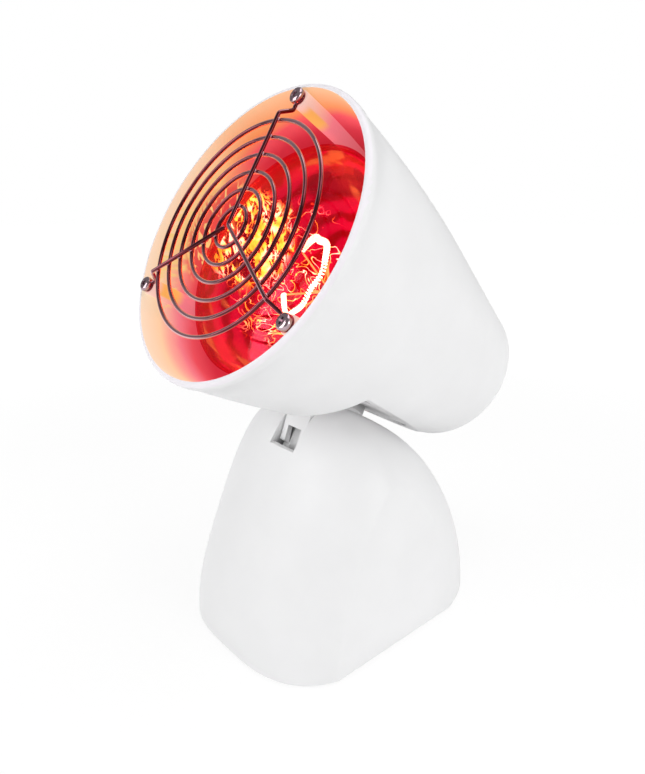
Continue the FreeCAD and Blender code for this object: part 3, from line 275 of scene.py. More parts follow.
@dataclass(frozen=True)
class MouldedPlastic:
    """Moulded plastic with a fine spark-eroded grain, slight cloudiness and painted shade in
    its corners.
    """

    name: str
    colour: Colour
    roughness: float = 0.46
    grain: float = FINE_GRAIN
    relief: float = GRAIN_RELIEF
    variation: float = 0.02
    cloud_scale: float = 28.0
    gloss_scale: float = 220.0
    glossier: float = 0.04
    duller: float = 0.05
    painted_corner_shade: float = 0.9
    painted_corner_shade_reach: float = 7.0 * MM
    painted_corner_shade_window: Pair = (0.35, 0.9)
    painted_corner_shade_tone: float = 0.25
    painted_corner_shade_samples: int = 8

    def make(self) -> Material:
        """Return the material."""
        graph = Graph(self.name)
        dark = tuple(part * (1.0 - self.variation) for part in self.colour)
        light = tuple(min(1.0, part * (1.0 + self.variation)) for part in self.colour)
        cloud = graph.noise(self.cloud_scale, 4.0)
        colour = graph.ramp(cloud, (NOISE_LOW, dark), (NOISE_HIGH, light))
        # Painted shade: the colour darkens near the plastic's own corners and recesses, where
        # shade falls.
        corner = graph.node("ShaderNodeAmbientOcclusion", samples=self.painted_corner_shade_samples,
                            only_local=True)
        corner.inputs["Distance"].default_value = self.painted_corner_shade_reach
        share = graph.span(corner.outputs["AO"], *self.painted_corner_shade_window, self.painted_corner_shade, 0.0)
        colour = graph.mix(share, colour, tuple(part * self.painted_corner_shade_tone for part in self.colour))
        grain = graph.noise(self.grain, 2.0)
        rough = graph.span(graph.noise(self.gloss_scale, 3.0), NOISE_LOW, NOISE_HIGH,
                           self.roughness - self.glossier, self.roughness + self.duller)
        normal = graph.bump(grain, self.relief, GRAIN_HEIGHT)
        return graph.principled(Base_Color=colour, Roughness=rough, Normal=normal)


@dataclass(frozen=True)
class WorkedMetal:
    """Metal with a fine grain, faint stains, uneven gloss and, where an edge colour is given, a
    painted sheen on its edges.
    """

    name: str
    colour: Colour
    stain: Colour
    roughness: float = 0.25
    stain_scale: float = 160.0
    stain_window: Pair = (0.38, 0.75)
    grain: float = 900.0
    rough_shares: Pair = (0.75, 1.35)
    relief: float = 0.08
    relief_height: float = 0.00003
    coat: float = 0.0
    coat_roughness: float = 0.08
    edge: Colour | None = None
    edge_sheen_window: Pair = (0.28, 0.65)

    def make(self) -> Material:
        """Return the material."""
        graph = Graph(self.name)
        stain = graph.noise(self.stain_scale, 4.0, 0.4)
        clean, stained = self.stain_window
        colour = graph.ramp(stain, (clean, self.colour), (stained, self.stain))
        # Painted sheen: the colour turns to the edge colour where the surface turns away,
        # standing in for a reflection along the edges.
        if self.edge:
            facing = graph.node("ShaderNodeLayerWeight").outputs["Facing"]
            colour = graph.mix(graph.span(facing, *self.edge_sheen_window), colour, self.edge)
        grain = graph.noise(self.grain)
        rough = graph.span(grain, NOISE_LOW, NOISE_HIGH,
                           *(self.roughness * share for share in self.rough_shares))
        normal = graph.bump(grain, self.relief, self.relief_height)
        return graph.principled(Base_Color=colour, Metallic=1.0, Roughness=rough,
                                Coat_Weight=self.coat, Coat_Roughness=self.coat_roughness,
                                Normal=normal)


@dataclass(frozen=True)
class RoughSolid:
    """Dull material with a speckled colour and a pitted surface: rubber, ceramic, cast iron."""

    name: str
    colour: Colour
    speck: Colour
    roughness: float
    pit_scale: float
    pit_depth: float
    metallic: float = 0.0
    speck_window: Pair = (0.42, 0.55)
    pit_strength: float = 0.5
    duller: float = 0.1

    def make(self) -> Material:
        """Return the material."""
        graph = Graph(self.name)
        pits = graph.noise(self.pit_scale, 5.0, 0.3)
        specked, plain = self.speck_window
        colour = graph.ramp(pits, (specked, self.speck), (plain, self.colour))
        rough = graph.span(pits, NOISE_LOW, NOISE_HIGH,
                           min(1.0, self.roughness + self.duller), self.roughness)
        normal = graph.bump(pits, self.pit_strength, self.pit_depth)
        return graph.principled(Base_Color=colour, Metallic=self.metallic, Roughness=rough,
                                Normal=normal)


@dataclass(frozen=True)
class MouthWall:
    """White plastic inside the mouth with the bulb's light painted on it as glow: cream at the
    rim, crimson deeper in.
    """

    name: str = "mouth_wall"
    glow: float = 0.78
    own_share: float = 0.25
    roughness: float = 0.42
    depth: float = 45.0 * MM
    ripple_scale: Triple = (26.0, 60.0, 26.0)
    ripple_height: float = 0.006
    low: Stops = ((0.0, Tone.CREAM), (0.22, Tone.SAND), (0.34, Tone.PINK), (0.5, Tone.ROSE),
                  (0.66, Tone.SCARLET), (0.9, Tone.CRIMSON))
    high: Stops = ((0.0, Tone.APRICOT), (0.28, Tone.ORANGE), (0.42, Tone.SCARLET),
                   (0.62, Tone.CRIMSON), (0.85, Tone.MAROON))
    side: Stops = ((0.0, Tone.CREAM), (0.32, Tone.STRAW), (0.5, Tone.ORANGE),
                   (0.7, Tone.CRIMSON))
    top_rise: Pair = (-0.02, 0.06)
    side_across: Pair = (-0.045, -0.064)
    side_rise: Pair = (-0.04, 0.005)
    side_share: float = 0.75
    warm: Patch = Patch((-0.066, 0.014, -0.002), (0.02, 0.009, 0.045))
    warm_scale: Triple = (60.0, 60.0, 170.0)
    warm_window: Pair = (0.45, 0.62)
    near: Patch = Patch((-0.064, 0.027, 0.012), (0.02, 0.012, 0.030))
    near_share: float = 0.7
    painted_glint_window: Pair = (0.5, 0.56)

    def make(self) -> Material:
        """Return the material."""
        graph = Graph(self.name)
        point = graph.head_axes()
        colour = self.mirrored_painted_glints(graph, point, self.lamplight(graph, point))
        return self.plastic(graph, colour)

    def lamplight(self, graph: Graph, point: Axes) -> Socket:
        """Colour of the light on the wall, by depth, height and side.

        Args:
            graph: the material's node tree.
            point: across, station and rise of the shaded point.

        Returns:
            The colour's socket.
        """
        across, station, rise = point
        ripple = graph.stretched_noise(self.ripple_scale, 2.0, 0.6)
        shift = graph.math("MULTIPLY_ADD", ripple, self.ripple_height, -self.ripple_height / 2)
        share = graph.math("DIVIDE", graph.math("ADD", station, shift), self.depth)
        low = graph.ramp(share, *self.low)
        high = graph.ramp(share, *self.high)
        side = graph.ramp(share, *self.side)
        leftward = graph.product(graph.span(across, *self.side_across),
                                 graph.span(rise, *self.side_rise))
        colour = graph.mix(graph.span(rise, *self.top_rise), low, high)
        return graph.mix(graph.product(leftward, self.side_share), colour, side)

    def mirrored_painted_glints(self, graph: Graph, point: Axes, colour: Socket) -> Socket:
        """Paint reflections of the bulb's film on the wall: warm streaks, and straw glints on a
        crimson patch near the bulb.
        """
        straw = Tone.STRAW.value
        warm = graph.region(point, self.warm)
        streak = graph.stretched_noise(self.warm_scale, 2.0, 0.8)
        colour = graph.mix(graph.product(graph.span(streak, *self.warm_window), warm), colour,
                           straw)
        near = graph.region(point, self.near)
        painted_glint = graph.stretched_noise(PAINTED_GLINT_SCALE, 2.0, 1.4)
        colour = graph.mix(graph.product(near, self.near_share), colour, Tone.CRIMSON.value)
        return graph.mix(graph.product(near, graph.span(painted_glint, *self.painted_glint_window)), colour,
                         straw)

    def plastic(self, graph: Graph, colour: Socket) -> Material:
        """Grained plastic that gives off a share of its colour as lamplight."""
        own = graph.mix(self.own_share, BLACK, colour)
        normal = graph.bump(graph.noise(FINE_GRAIN, 2.0), GRAIN_RELIEF, GRAIN_HEIGHT)
        return graph.principled(Base_Color=own, Roughness=self.roughness, Emission_Color=colour,
                                Emission_Strength=self.glow, Normal=normal)


@dataclass(frozen=True)
class LitBoss(MouthWall):
    """The screw bosses' plastic with the bulb's light painted on it: pink along the boss, and a
    painted yellow reflection on its inner side.
    """

    name: str = "lit_boss"
    along: Stops = ((0.05, Tone.BLUSH), (0.25, Tone.PINK), (0.45, Tone.ROSE), (1.0, Tone.BRICK))
    inner_side: Pair = (0.0632, 0.0645)
    reflection_start: Pair = (0.003, 0.008)
    reflection_end: Pair = (0.015, 0.021)

    def make(self) -> Material:
        """Return the material."""
        graph = Graph(self.name)
        across, station, rise = graph.head_axes()
        colour = graph.ramp(graph.math("DIVIDE", station, self.depth), *self.along)
        radius = graph.math("SQRT", graph.math("ADD", graph.product(across, across),
                                               graph.product(rise, rise)))
        inner = graph.span(radius, *self.inner_side, 1.0, 0.0)
        start = graph.span(station, *self.reflection_start)
        end = graph.span(station, *self.reflection_end, 1.0, 0.0)
        # Painted reflection: the yellow patch on the boss's inner side.
        patch = graph.product(graph.product(start, end), inner)
        return self.plastic(graph, graph.mix(patch, colour, Tone.AMBER.value))


@dataclass(frozen=True)
class RubyGlass:
    """Thin glass stained red all through, with a slight waviness and a glossy face."""

    name: str = "ruby_glass"
    tint: Colour = (0.975, 0.22, 0.36)
    deeper: float = 0.88
    tint_scale: float = 24.0
    tint_window: Pair = (0.38, 0.6)
    gloss: Colour = (1.0, 0.7, 0.74)
    gloss_share: float = 0.3
    gloss_roughness: float = 0.06
    refraction: float = 1.45
    wave_scale: float = 45.0
    wave_strength: float = 0.15
    wave_height: float = 0.0008

    def make(self) -> Material:
        """Return the material."""
        graph = Graph(self.name)
        wave = graph.noise(self.wave_scale, 2.0, 0.4)
        normal = graph.bump(wave, self.wave_strength, self.wave_height)
        patch = graph.noise(self.tint_scale, 2.0, 0.5)
        deep = tuple(part * self.deeper for part in self.tint)
        dark, light = self.tint_window
        tint = graph.ramp(patch, (dark, deep), (light, self.tint))
        clear = graph.shader("BsdfTransparent", Color=tint)
        shine = graph.shader("BsdfGlossy", Color=self.gloss, Roughness=self.gloss_roughness,
                             Normal=normal)
        fresnel = graph.node("ShaderNodeFresnel")
        fresnel.inputs["IOR"].default_value = self.refraction
        graph.feed(fresnel.inputs["Normal"], normal)
        share = graph.product(fresnel.outputs[0], self.gloss_share)
        return graph.finish(graph.blend(share, clear, shine))


@dataclass(frozen=True)
class GlowingMirror:
    """Metal film on the bulb's back, with painted light: a red glow in spun rings, and gold
    glints, swooshes and curls painted as reflections of the filament.

    It is seen through two walls of red glass, so the glints' own colours lean to green.
    """

    name: str = "glowing_mirror"
    metal: Colour = (0.06, 0.002, 0.006)
    roughness: float = 0.25
    glow: float = 1.0
    glint: float = 13.0
    ring_pitch: float = 10.0 * MM
    ring_warp: float = 0.012
    warp_scale: float = 55.0
    rings: Stops = ((0.0, (0.45, 0.004, 0.02)), (0.5, (0.86, 0.01, 0.18)),
                    (1.0, (0.95, 0.04, 0.24)))
    shadow: Patch = Patch((0.002, 0.045, 0.051), (0.032, 0.009, 0.018))
    gold: Patch = Patch((-0.050, 0.040, 0.014), (0.022, 0.026, 0.028))
    lit: Patch = Patch((-0.034, 0.064, 0.004), (0.030, 0.034, 0.044))
    dim_share: float = 0.85
    dim: Colour = (0.25, 0.0, 0.01)
    swoosh_scale: Triple = (18.0, 60.0, 18.0)
    swoosh_window: Pair = (0.57, 0.63)
    swoosh: Colour = (0.95, 2.6, 0.25)
    painted_glint_window: Pair = (0.48, 0.52)
    curl_scale: float = 95.0
    curl_width: float = 0.026
    hue_scale: float = 130.0
    hues: Stops = ((0.34, (0.4, 1.1, 0.02)), (0.46, (0.5, 2.2, 0.07)), (0.6, (1.0, 2.9, 0.7)))
    dent_scale: float = 300.0
    dent_strength: float = 0.35
    dent_height: float = 0.0006

    def make(self) -> Material:
        """Return the material."""
        graph = Graph(self.name)
        point = graph.head_axes()
        gold = graph.region(point, self.gold)
        red = self.film(graph, point, gold)
        swoosh = graph.span(graph.stretched_noise(self.swoosh_scale, 2.0, 1.0),
                            *self.swoosh_window)
        bright = self.glints(graph, point, gold)
        hue = graph.ramp(graph.noise(self.hue_scale, 2.0), *self.hues)
        colour = graph.mix(bright, graph.mix(swoosh, red, self.swoosh), hue)
        strength = graph.math("MULTIPLY_ADD", bright, self.glint, self.glow)
        normal = graph.bump(graph.noise(self.dent_scale, 2.0, 0.5), self.dent_strength,
                            self.dent_height)
        return graph.principled(Base_Color=self.metal, Metallic=1.0, Roughness=self.roughness,
                                Normal=normal, Emission_Color=colour,
                                Emission_Strength=strength)

    def film(self, graph: Graph, point: Axes, gold: Socket) -> Socket:
        """Red glow painted in spun rings, darker in the painted shadow and behind the gold
        glints.
        """
        warp = graph.noise(self.warp_scale, 2.0, 0.3)
        along = graph.math("MULTIPLY_ADD", warp, self.ring_warp, point[1])
        turns = graph.math("SINE", graph.product(along, 2 * math.pi / self.ring_pitch))
        red = graph.ramp(graph.span(turns, -1.0, 1.0), *self.rings)
        shadow = graph.region(point, self.shadow)
        return graph.mix(graph.product(graph.larger(shadow, gold), self.dim_share), red,
                         self.dim)

    def glints(self, graph: Graph, point: Axes, gold: Socket) -> Socket:
        """Share of the painted gold glints and of the filament's painted curled reflections.

        Args:
            graph: the material's node tree.
            point: across, station and rise of the shaded point.
            gold: share of the gold glints' region.

        Returns:
            The share's socket.
        """
        lit = graph.region(point, self.lit)
        painted_glint = graph.stretched_noise(PAINTED_GLINT_SCALE, 2.0, 1.4)
        painted_glints = graph.product(graph.span(painted_glint, *self.painted_glint_window), gold)
        curl = graph.noise(self.curl_scale, 1.0, 1.6)
        away = graph.math("ABSOLUTE", graph.math("SUBTRACT", curl, 0.5))
        line = graph.span(away, 0.0, self.curl_width, 1.0, 0.0)
        return graph.larger(painted_glints, graph.product(line, graph.larger(lit, gold)))


@dataclass(frozen=True)
class WhiteHot:
    """Glowing wire whose heat varies a little along its length."""

    name: str
    colour: Colour
    strength: float
    cool: Colour = (0.25, 0.1, 0.05)
    roughness: float = 0.6
    heat_scale: float = 260.0
    heat_shares: Pair = (0.75, 1.2)
    relief: float = 0.2
    relief_scale: float = 3000.0
    relief_height: float = 0.00003

    def make(self) -> Material:
        """Return the material."""
        graph = Graph(self.name)
        heat = graph.noise(self.heat_scale, 2.0)
        strength = graph.span(heat, NOISE_LOW, NOISE_HIGH,
                              *(self.strength * share for share in self.heat_shares))
        normal = graph.bump(graph.noise(self.relief_scale), self.relief, self.relief_height)
        return graph.principled(Base_Color=self.cool, Roughness=self.roughness, Normal=normal,
                                Emission_Color=self.colour, Emission_Strength=strength)


def new_object(name: str, mesh: Mesh, material: Material | None = None) -> bpy.types.Object:
    """Link a mesh into the scene as an object at the origin."""
    item = bpy.data.objects.new(name, mesh)
    bpy.context.scene.collection.objects.link(item)
    if material:
        mesh.materials.clear()
        mesh.materials.append(material)
    return item


def settle(piece: bpy.types.Object, body: Body, slot: str, *nodes: str) -> None:
    """Let a piece ride on its body and stand in for CAD nodes, which it hides, and report it.
    """
    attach(piece, body.value)
    if nodes:
        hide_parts(*nodes)
    log.info("%s rides on %s, %d faces", piece.name, body.value, len(piece.data.polygons))


def smooth(mesh: Mesh, degrees: float) -> None:
    """Shade a mesh smooth, with edges sharper than an angle kept crisp."""
    mesh.shade_smooth()
    mesh.set_sharp_from_angle(angle=math.radians(degrees))


def merged_copy(node: str, name: str, material: Material,
                degrees: float = 28.0) -> bpy.types.Object:
    """Copy a CAD node's mesh with its loose triangles joined and its curved faces smooth.

    Args:
        node: the CAD node.
        name: name of the new piece.
        material: its finish.
        degrees: edges sharper than this stay crisp.

    Returns:
        The new piece.
    """
    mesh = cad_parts[node].data.copy()
    shell = bmesh.new()
    shell.from_mesh(mesh)
    bmesh.ops.remove_doubles(shell, verts=shell.verts, dist=COPY_WELD)
    shell.to_mesh(mesh)
    shell.free()
    mesh.name = name
    smooth(mesh, degrees)
    return new_object(name, mesh, material)


def mesh_of(shell: bmesh.types.BMesh, name: str, degrees: float = 35.0) -> Mesh:
    """Write a bmesh to a new mesh, with its normals outward."""
    bmesh.ops.remove_doubles(shell, verts=shell.verts, dist=NEW_WELD)
    bmesh.ops.recalc_face_normals(shell, faces=shell.faces)
    mesh = bpy.data.meshes.new(name)
    shell.to_mesh(mesh)
    shell.free()
    smooth(mesh, degrees)
    return mesh


def dress(material: Material, *nodes: str) -> None:
    """Give CAD nodes that stay a finish."""
    for node in nodes:
        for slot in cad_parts[node].material_slots:
            slot.material = material
        log.info("%s keeps its solid, finish %s", node, material.name)


@dataclass(frozen=True)
class CrossScrew:
    """Pan head with a cross recess, its underside on the XY plane and +Z out of the screw."""

    radius: float
    height: float
    segments: int = 48
    profile: tuple[Pair, ...] = ((1.0, 0.42), (0.955, 0.66), (0.85, 0.85), (0.72, 0.96),
                                 (0.62, 1.0))
    arm_length: float = 0.56
    arm_width: float = 0.15
    arm_height: float = 1.1
    arm_middle: float = 0.95
    floor_shrink: Pair = (0.45, 0.6)

    def blank(self) -> Mesh:
        """Return the head before its recess is cut."""
        head = bmesh.new()
        bmesh.ops.create_circle(head, cap_ends=False, segments=self.segments,
                                radius=self.radius)
        underside = list(head.edges)
        current = underside
        for share, rise in self.profile:
            made = bmesh.ops.extrude_edge_only(head, edges=current)["geom"]
            verts = [item for item in made if isinstance(item, bmesh.types.BMVert)]
            current = [item for item in made if isinstance(item, bmesh.types.BMEdge)]
            for vert in verts:
                flat = Vector((vert.co.x, vert.co.y, 0)).normalized() * self.radius * share
                vert.co = (flat.x, flat.y, self.height * rise)
        bmesh.ops.contextual_create(head, geom=current)
        bmesh.ops.contextual_create(head, geom=underside)
        return mesh_of(head, "head_blank")

    def cutter(self) -> Mesh:
        """Return the two crossed wedges that make the recess."""
        wedges = bmesh.new()
        size = (self.radius * self.arm_length * 2, self.radius * self.arm_width * 2,
                self.height * self.arm_height)
        for degrees in (0, 90):
            made = bmesh.ops.create_cube(wedges, size=1.0)["verts"]
            bmesh.ops.scale(wedges, verts=made, vec=size)
            for vert in made:
                if vert.co.z < 0:
                    vert.co.x *= self.floor_shrink[0]
                    vert.co.y *= self.floor_shrink[1]
            bmesh.ops.translate(wedges, verts=made, vec=(0, 0, self.height * self.arm_middle))
            bmesh.ops.rotate(wedges, verts=made, cent=(0, 0, 0),
                             matrix=Matrix.Rotation(math.radians(degrees), 3, "Z"))
        return mesh_of(wedges, "cross_blank")

    def add_to(self, shell: bmesh.types.BMesh, place: Matrix) -> None:
        """Add the finished head to a bmesh, standing at a place."""
        body = new_object("head_blank", self.blank())
        tool = new_object("cross_blank", self.cutter())
        difference = body.modifiers.new("Cross", "BOOLEAN")
        difference.operation = "DIFFERENCE"
        difference.use_self = True
        difference.object = tool
        depsgraph = bpy.context.evaluated_depsgraph_get()
        made = bpy.data.meshes.new_from_object(body.evaluated_get(depsgraph))
        made.transform(place)
        shell.from_mesh(made)
        for item in (body, tool):
            bpy.data.objects.remove(item)


@dataclass
class Stand:
    """Domed stand with its base, hinge, ballast and cord inlet."""

    white: Material
    steel: Material

    def build(self) -> None:
        """Build the stand's shell and base, and dress what stays inside."""
        settle(merged_copy("stand_shell", "domed_shell", self.white, SHELL_CREASE), Body.STAND,
               "white_plastic", "stand_shell")
        plate = MouldedPlastic("plate_plastic", (0.62, 0.62, 0.63), roughness=0.5, grain=1500.0,
                               relief=0.15, variation=0.04)
        settle(merged_copy("base_plate", "bottom_plate", plate.make()), Body.STAND,
               "plate_plastic", "base_plate")
        rubber = RoughSolid("foot_rubber", (0.035, 0.035, 0.038), (0.06, 0.06, 0.062),
                            roughness=0.75, pit_scale=1400.0, pit_depth=0.00006)
        settle(merged_copy("rubber_feet", "feet", rubber.make()), Body.STAND, "foot_rubber",
               "rubber_feet")
        black = MouldedPlastic("gland_plastic", (0.05, 0.05, 0.053), roughness=0.45,
                               grain=1800.0, relief=0.12, variation=0.08)
        settle(merged_copy("cable_gland", "lead_bush", black.make()), Body.STAND,
               "gland_plastic", "cable_gland")
        self.dress_inside()

    def dress_inside(self) -> None:
        """Give the solids inside the stand their finishes."""
        iron = RoughSolid("ballast_iron", (0.09, 0.085, 0.08), (0.16, 0.09, 0.05),
                          roughness=0.6, pit_scale=500.0, pit_depth=0.0002, metallic=0.7)
        dress(iron.make(), "ballast_weight")
        dress(self.steel, "base_plate_screws", "ballast_screws", "hinge_bolt", "spring_washer",
              "hinge_nut", "terminal_screws")
        fibre = RoughSolid("washer_fibre", (0.34, 0.2, 0.12), (0.26, 0.15, 0.09),
                           roughness=0.8, pit_scale=900.0, pit_depth=0.00005)
        dress(fibre.make(), "friction_washers")
        block = MouldedPlastic("terminal_plastic", (0.78, 0.76, 0.7), roughness=0.45,
                               grain=900.0, relief=0.1, variation=0.03)
        dress(block.make(), "terminal_block")


@dataclass
class Switch:
    """Rocker switch low on the flat side."""

    edge_width: float = 0.00025
    edge_segments: int = 2

    def build(self) -> None:
        """Build the housing and the rocker."""
        case = MouldedPlastic("switch_plastic", (0.72, 0.72, 0.73), roughness=0.4,
                              grain=1800.0, relief=0.1, variation=0.03)
        key = MouldedPlastic("rocker_plastic", (0.80, 0.80, 0.81), roughness=0.3,
                             grain=1800.0, relief=0.08, variation=0.03)
        housing = merged_copy("switch_housing", "switch_case", case.make())
        settle(housing, Body.STAND, "switch_plastic", "switch_housing")
        rocker = merged_copy("switch_rocker", "switch_key", key.make())
        settle(rocker, Body.ROCKER, "rocker_plastic", "switch_rocker")
        for piece in (housing, rocker):
            edge = piece.modifiers.new("Edge", "BEVEL")
            edge.width = self.edge_width
            edge.segments = self.edge_segments
            edge.limit_method = "ANGLE"


@dataclass
class Shade:
    """Bell shade: white outside, with the bulb's light painted inside the mouth."""

    white: Material
    steel: Material
    wall: float = 2.4 * MM
    inner_mouth: float = 70.0 * MM
    mouth_play: float = 0.4 * MM
    rim_depth: float = 1.3 * MM
    collar_end: float = 5.0 * MM
    collar_radius: float = 72.1 * MM
    bell_end: float = 108.0 * MM
    bell_radius: float = 57.9 * MM
    bell_curve: float = 658.0 * MM
    flat_drop: float = 45.6 * MM
    notch_station: float = 70.0 * MM
    notch_slope: float = 0.4
    inside_depth: float = 150.0 * MM
    boss_radius: float = 4.3 * MM
    hair: float = 0.05 * MM

    def outer_radius(self, station: float) -> float:
        """Outer radius of the bell at a station behind its collar."""
        length = self.bell_end - self.collar_end
        drop = self.bell_radius - self.collar_radius
        part = (station - self.collar_end) / length
        chord = math.hypot(length, drop)
        bulge = chord * chord / (2 * self.bell_curve) * part * (1 - part)
        return self.collar_radius + drop * part + bulge

    def on_cut(self, spot: Vector) -> bool:
        """Whether a spot lies on the flat or the slope that the notch leaves in the wall."""
        flat = (abs(spot.z + self.flat_drop) < self.hair
                and spot.y > self.notch_station - self.hair)
        edge = self.notch_station + self.notch_slope * (spot.z + self.flat_drop)
        slope = abs(spot.y - edge) < self.hair
        return flat or (slope and spot.z < -self.flat_drop)

    def on_boss(self, spot: Vector) -> bool:
        """Whether a spot lies on a screw boss."""
        for degrees in GUARD_ANGLES:
            turn = math.radians(degrees)
            across = spot.x - SCREW_CIRCLE * math.cos(turn)
            rise = spot.z - SCREW_CIRCLE * math.sin(turn)
            if math.hypot(across, rise) < self.boss_radius + self.hair:
                return True
        return False

    def finish_of(self, spot: Vector) -> ShadeFinish:
        """Choose the finish at a spot.

        Args:
            spot: a point of the shade in the head's frame.

        Returns:
            The finish, whose number is that of its material slot.
        """
        limit = self.inner_mouth + self.mouth_play
        if spot.y > self.collar_end:
            limit = self.outer_radius(spot.y) - self.wall / 2
        inside = math.hypot(spot.x, spot.z) < limit and self.hair < spot.y < self.inside_depth
        if inside and not self.on_cut(spot):
            return ShadeFinish.BOSS if self.on_boss(spot) else ShadeFinish.WALL
        return ShadeFinish.RIM if spot.y < self.rim_depth else ShadeFinish.WHITE

    def build(self) -> None:
        """Build the shade with its finishes, and the neck with its screws."""
        shade = merged_copy("shade_shell", "bell_shade", self.white, SHELL_CREASE)
        # The rim's lighter lilac tone is painted light along the lip.
        rim = MouldedPlastic("rim_plastic", (0.86, 0.83, 0.87)).make()
        for material in (MouthWall().make(), LitBoss().make(), rim):
            shade.data.materials.append(material)
        inward = HEAD.inverted()
        for face in shade.data.polygons:
            face.material_index = self.finish_of(inward @ face.center)
        settle(shade, Body.HEAD, "white_plastic", "shade_shell")
        neck = merged_copy("neck_bracket", "neck_and_cover", self.white, SHELL_CREASE)
        settle(neck, Body.HEAD, "white_plastic", "neck_bracket")
        dress(self.steel, "neck_screws")


@dataclass
class Guard:
    """Wire guard of six rings on three legs, with its welds and screws."""

    chrome: Material
    bright: Material
    weld: Material
    wire: float = 0.95 * MM
    ahead: float = 3.6 * MM
    first_ring: float = 9.8 * MM
    ring_step: float = 8.35 * MM
    ring_count: int = 6
    bead_sink: float = 0.95
    bead_shape: Triple = (1.25, 0.85, 1.25)
    bead_crease: float = 80.0
    screw: CrossScrew = CrossScrew(radius=3.75 * MM, height=2.2 * MM)
    screw_turn: float = 20.0
    screw_crease: float = 25.0
    shank_radius: float = 1.4 * MM
    shank_length: float = 11.5 * MM
    shank_middle: float = 5.8 * MM
    shank_segments: int = 24

    def build(self) -> None:
        """Build the wires, the weld beads and the screws."""
        wires = [(f"guard_ring_{number}", f"wire_ring_{number}")
                 for number in range(1, self.ring_count + 1)]
        wires += [("guard_leg_pair", "bent_leg_wire"), ("guard_leg_single", "single_leg_wire")]
        for node, name in wires:
            settle(merged_copy(node, name, self.chrome, WIRE_CREASE), Body.HEAD,
                   "guard_chrome", node)
        self.build_beads()
        self.build_screws()

    def build_beads(self) -> None:
        """Add a small bead of weld at each crossing of a ring and a leg."""
        shell = bmesh.new()
        depth = -self.ahead - self.wire * self.bead_sink
        for number in range(self.ring_count):
            radius = self.first_ring + self.ring_step * number
            for degrees in GUARD_ANGLES:
                turn = math.radians(degrees)
                spot = (radius * math.cos(turn), depth, radius * math.sin(turn))
                made = bmesh.ops.create_icosphere(shell, subdivisions=2,
                                                  radius=self.wire)["verts"]
                bmesh.ops.scale(shell, verts=made, vec=self.bead_shape)
                bmesh.ops.translate(shell, verts=made, vec=spot)
        bmesh.ops.transform(shell, matrix=HEAD, verts=shell.verts)
        mesh = mesh_of(shell, "weld_beads", self.bead_crease)
        settle(new_object("weld_beads", mesh, self.weld), Body.HEAD, "guard_chrome")

    def build_screws(self) -> None:
        """Add the three guard screws with their cross recesses and shanks."""
        shell = bmesh.new()
        forward = Matrix.Rotation(math.radians(90), 4, "X")
        for degrees in GUARD_ANGLES:
            turn = math.radians(degrees)
            spot = Vector((math.cos(turn), 0, math.sin(turn))) * SCREW_CIRCLE
            spot.y = BOSS_START - self.wire * 2
            lean = forward @ Matrix.Rotation(math.radians(degrees + self.screw_turn), 4, "Z")
            self.screw.add_to(shell, HEAD @ Matrix.Translation(spot) @ lean)
            made = bmesh.ops.create_cone(shell, cap_ends=True, segments=self.shank_segments,
                                         radius1=self.shank_radius, radius2=self.shank_radius,
                                         depth=self.shank_length)["verts"]
            bmesh.ops.rotate(shell, verts=made, cent=(0, 0, 0), matrix=forward.to_3x3())
            bmesh.ops.translate(shell, verts=made,
                                vec=(spot.x, spot.y + self.shank_middle, spot.z))
            bmesh.ops.transform(shell, matrix=HEAD, verts=made)
        mesh = mesh_of(shell, "cross_screws", self.screw_crease)
        settle(new_object("cross_screws", mesh, self.bright), Body.HEAD, "guard_chrome",
               "guard_screws")


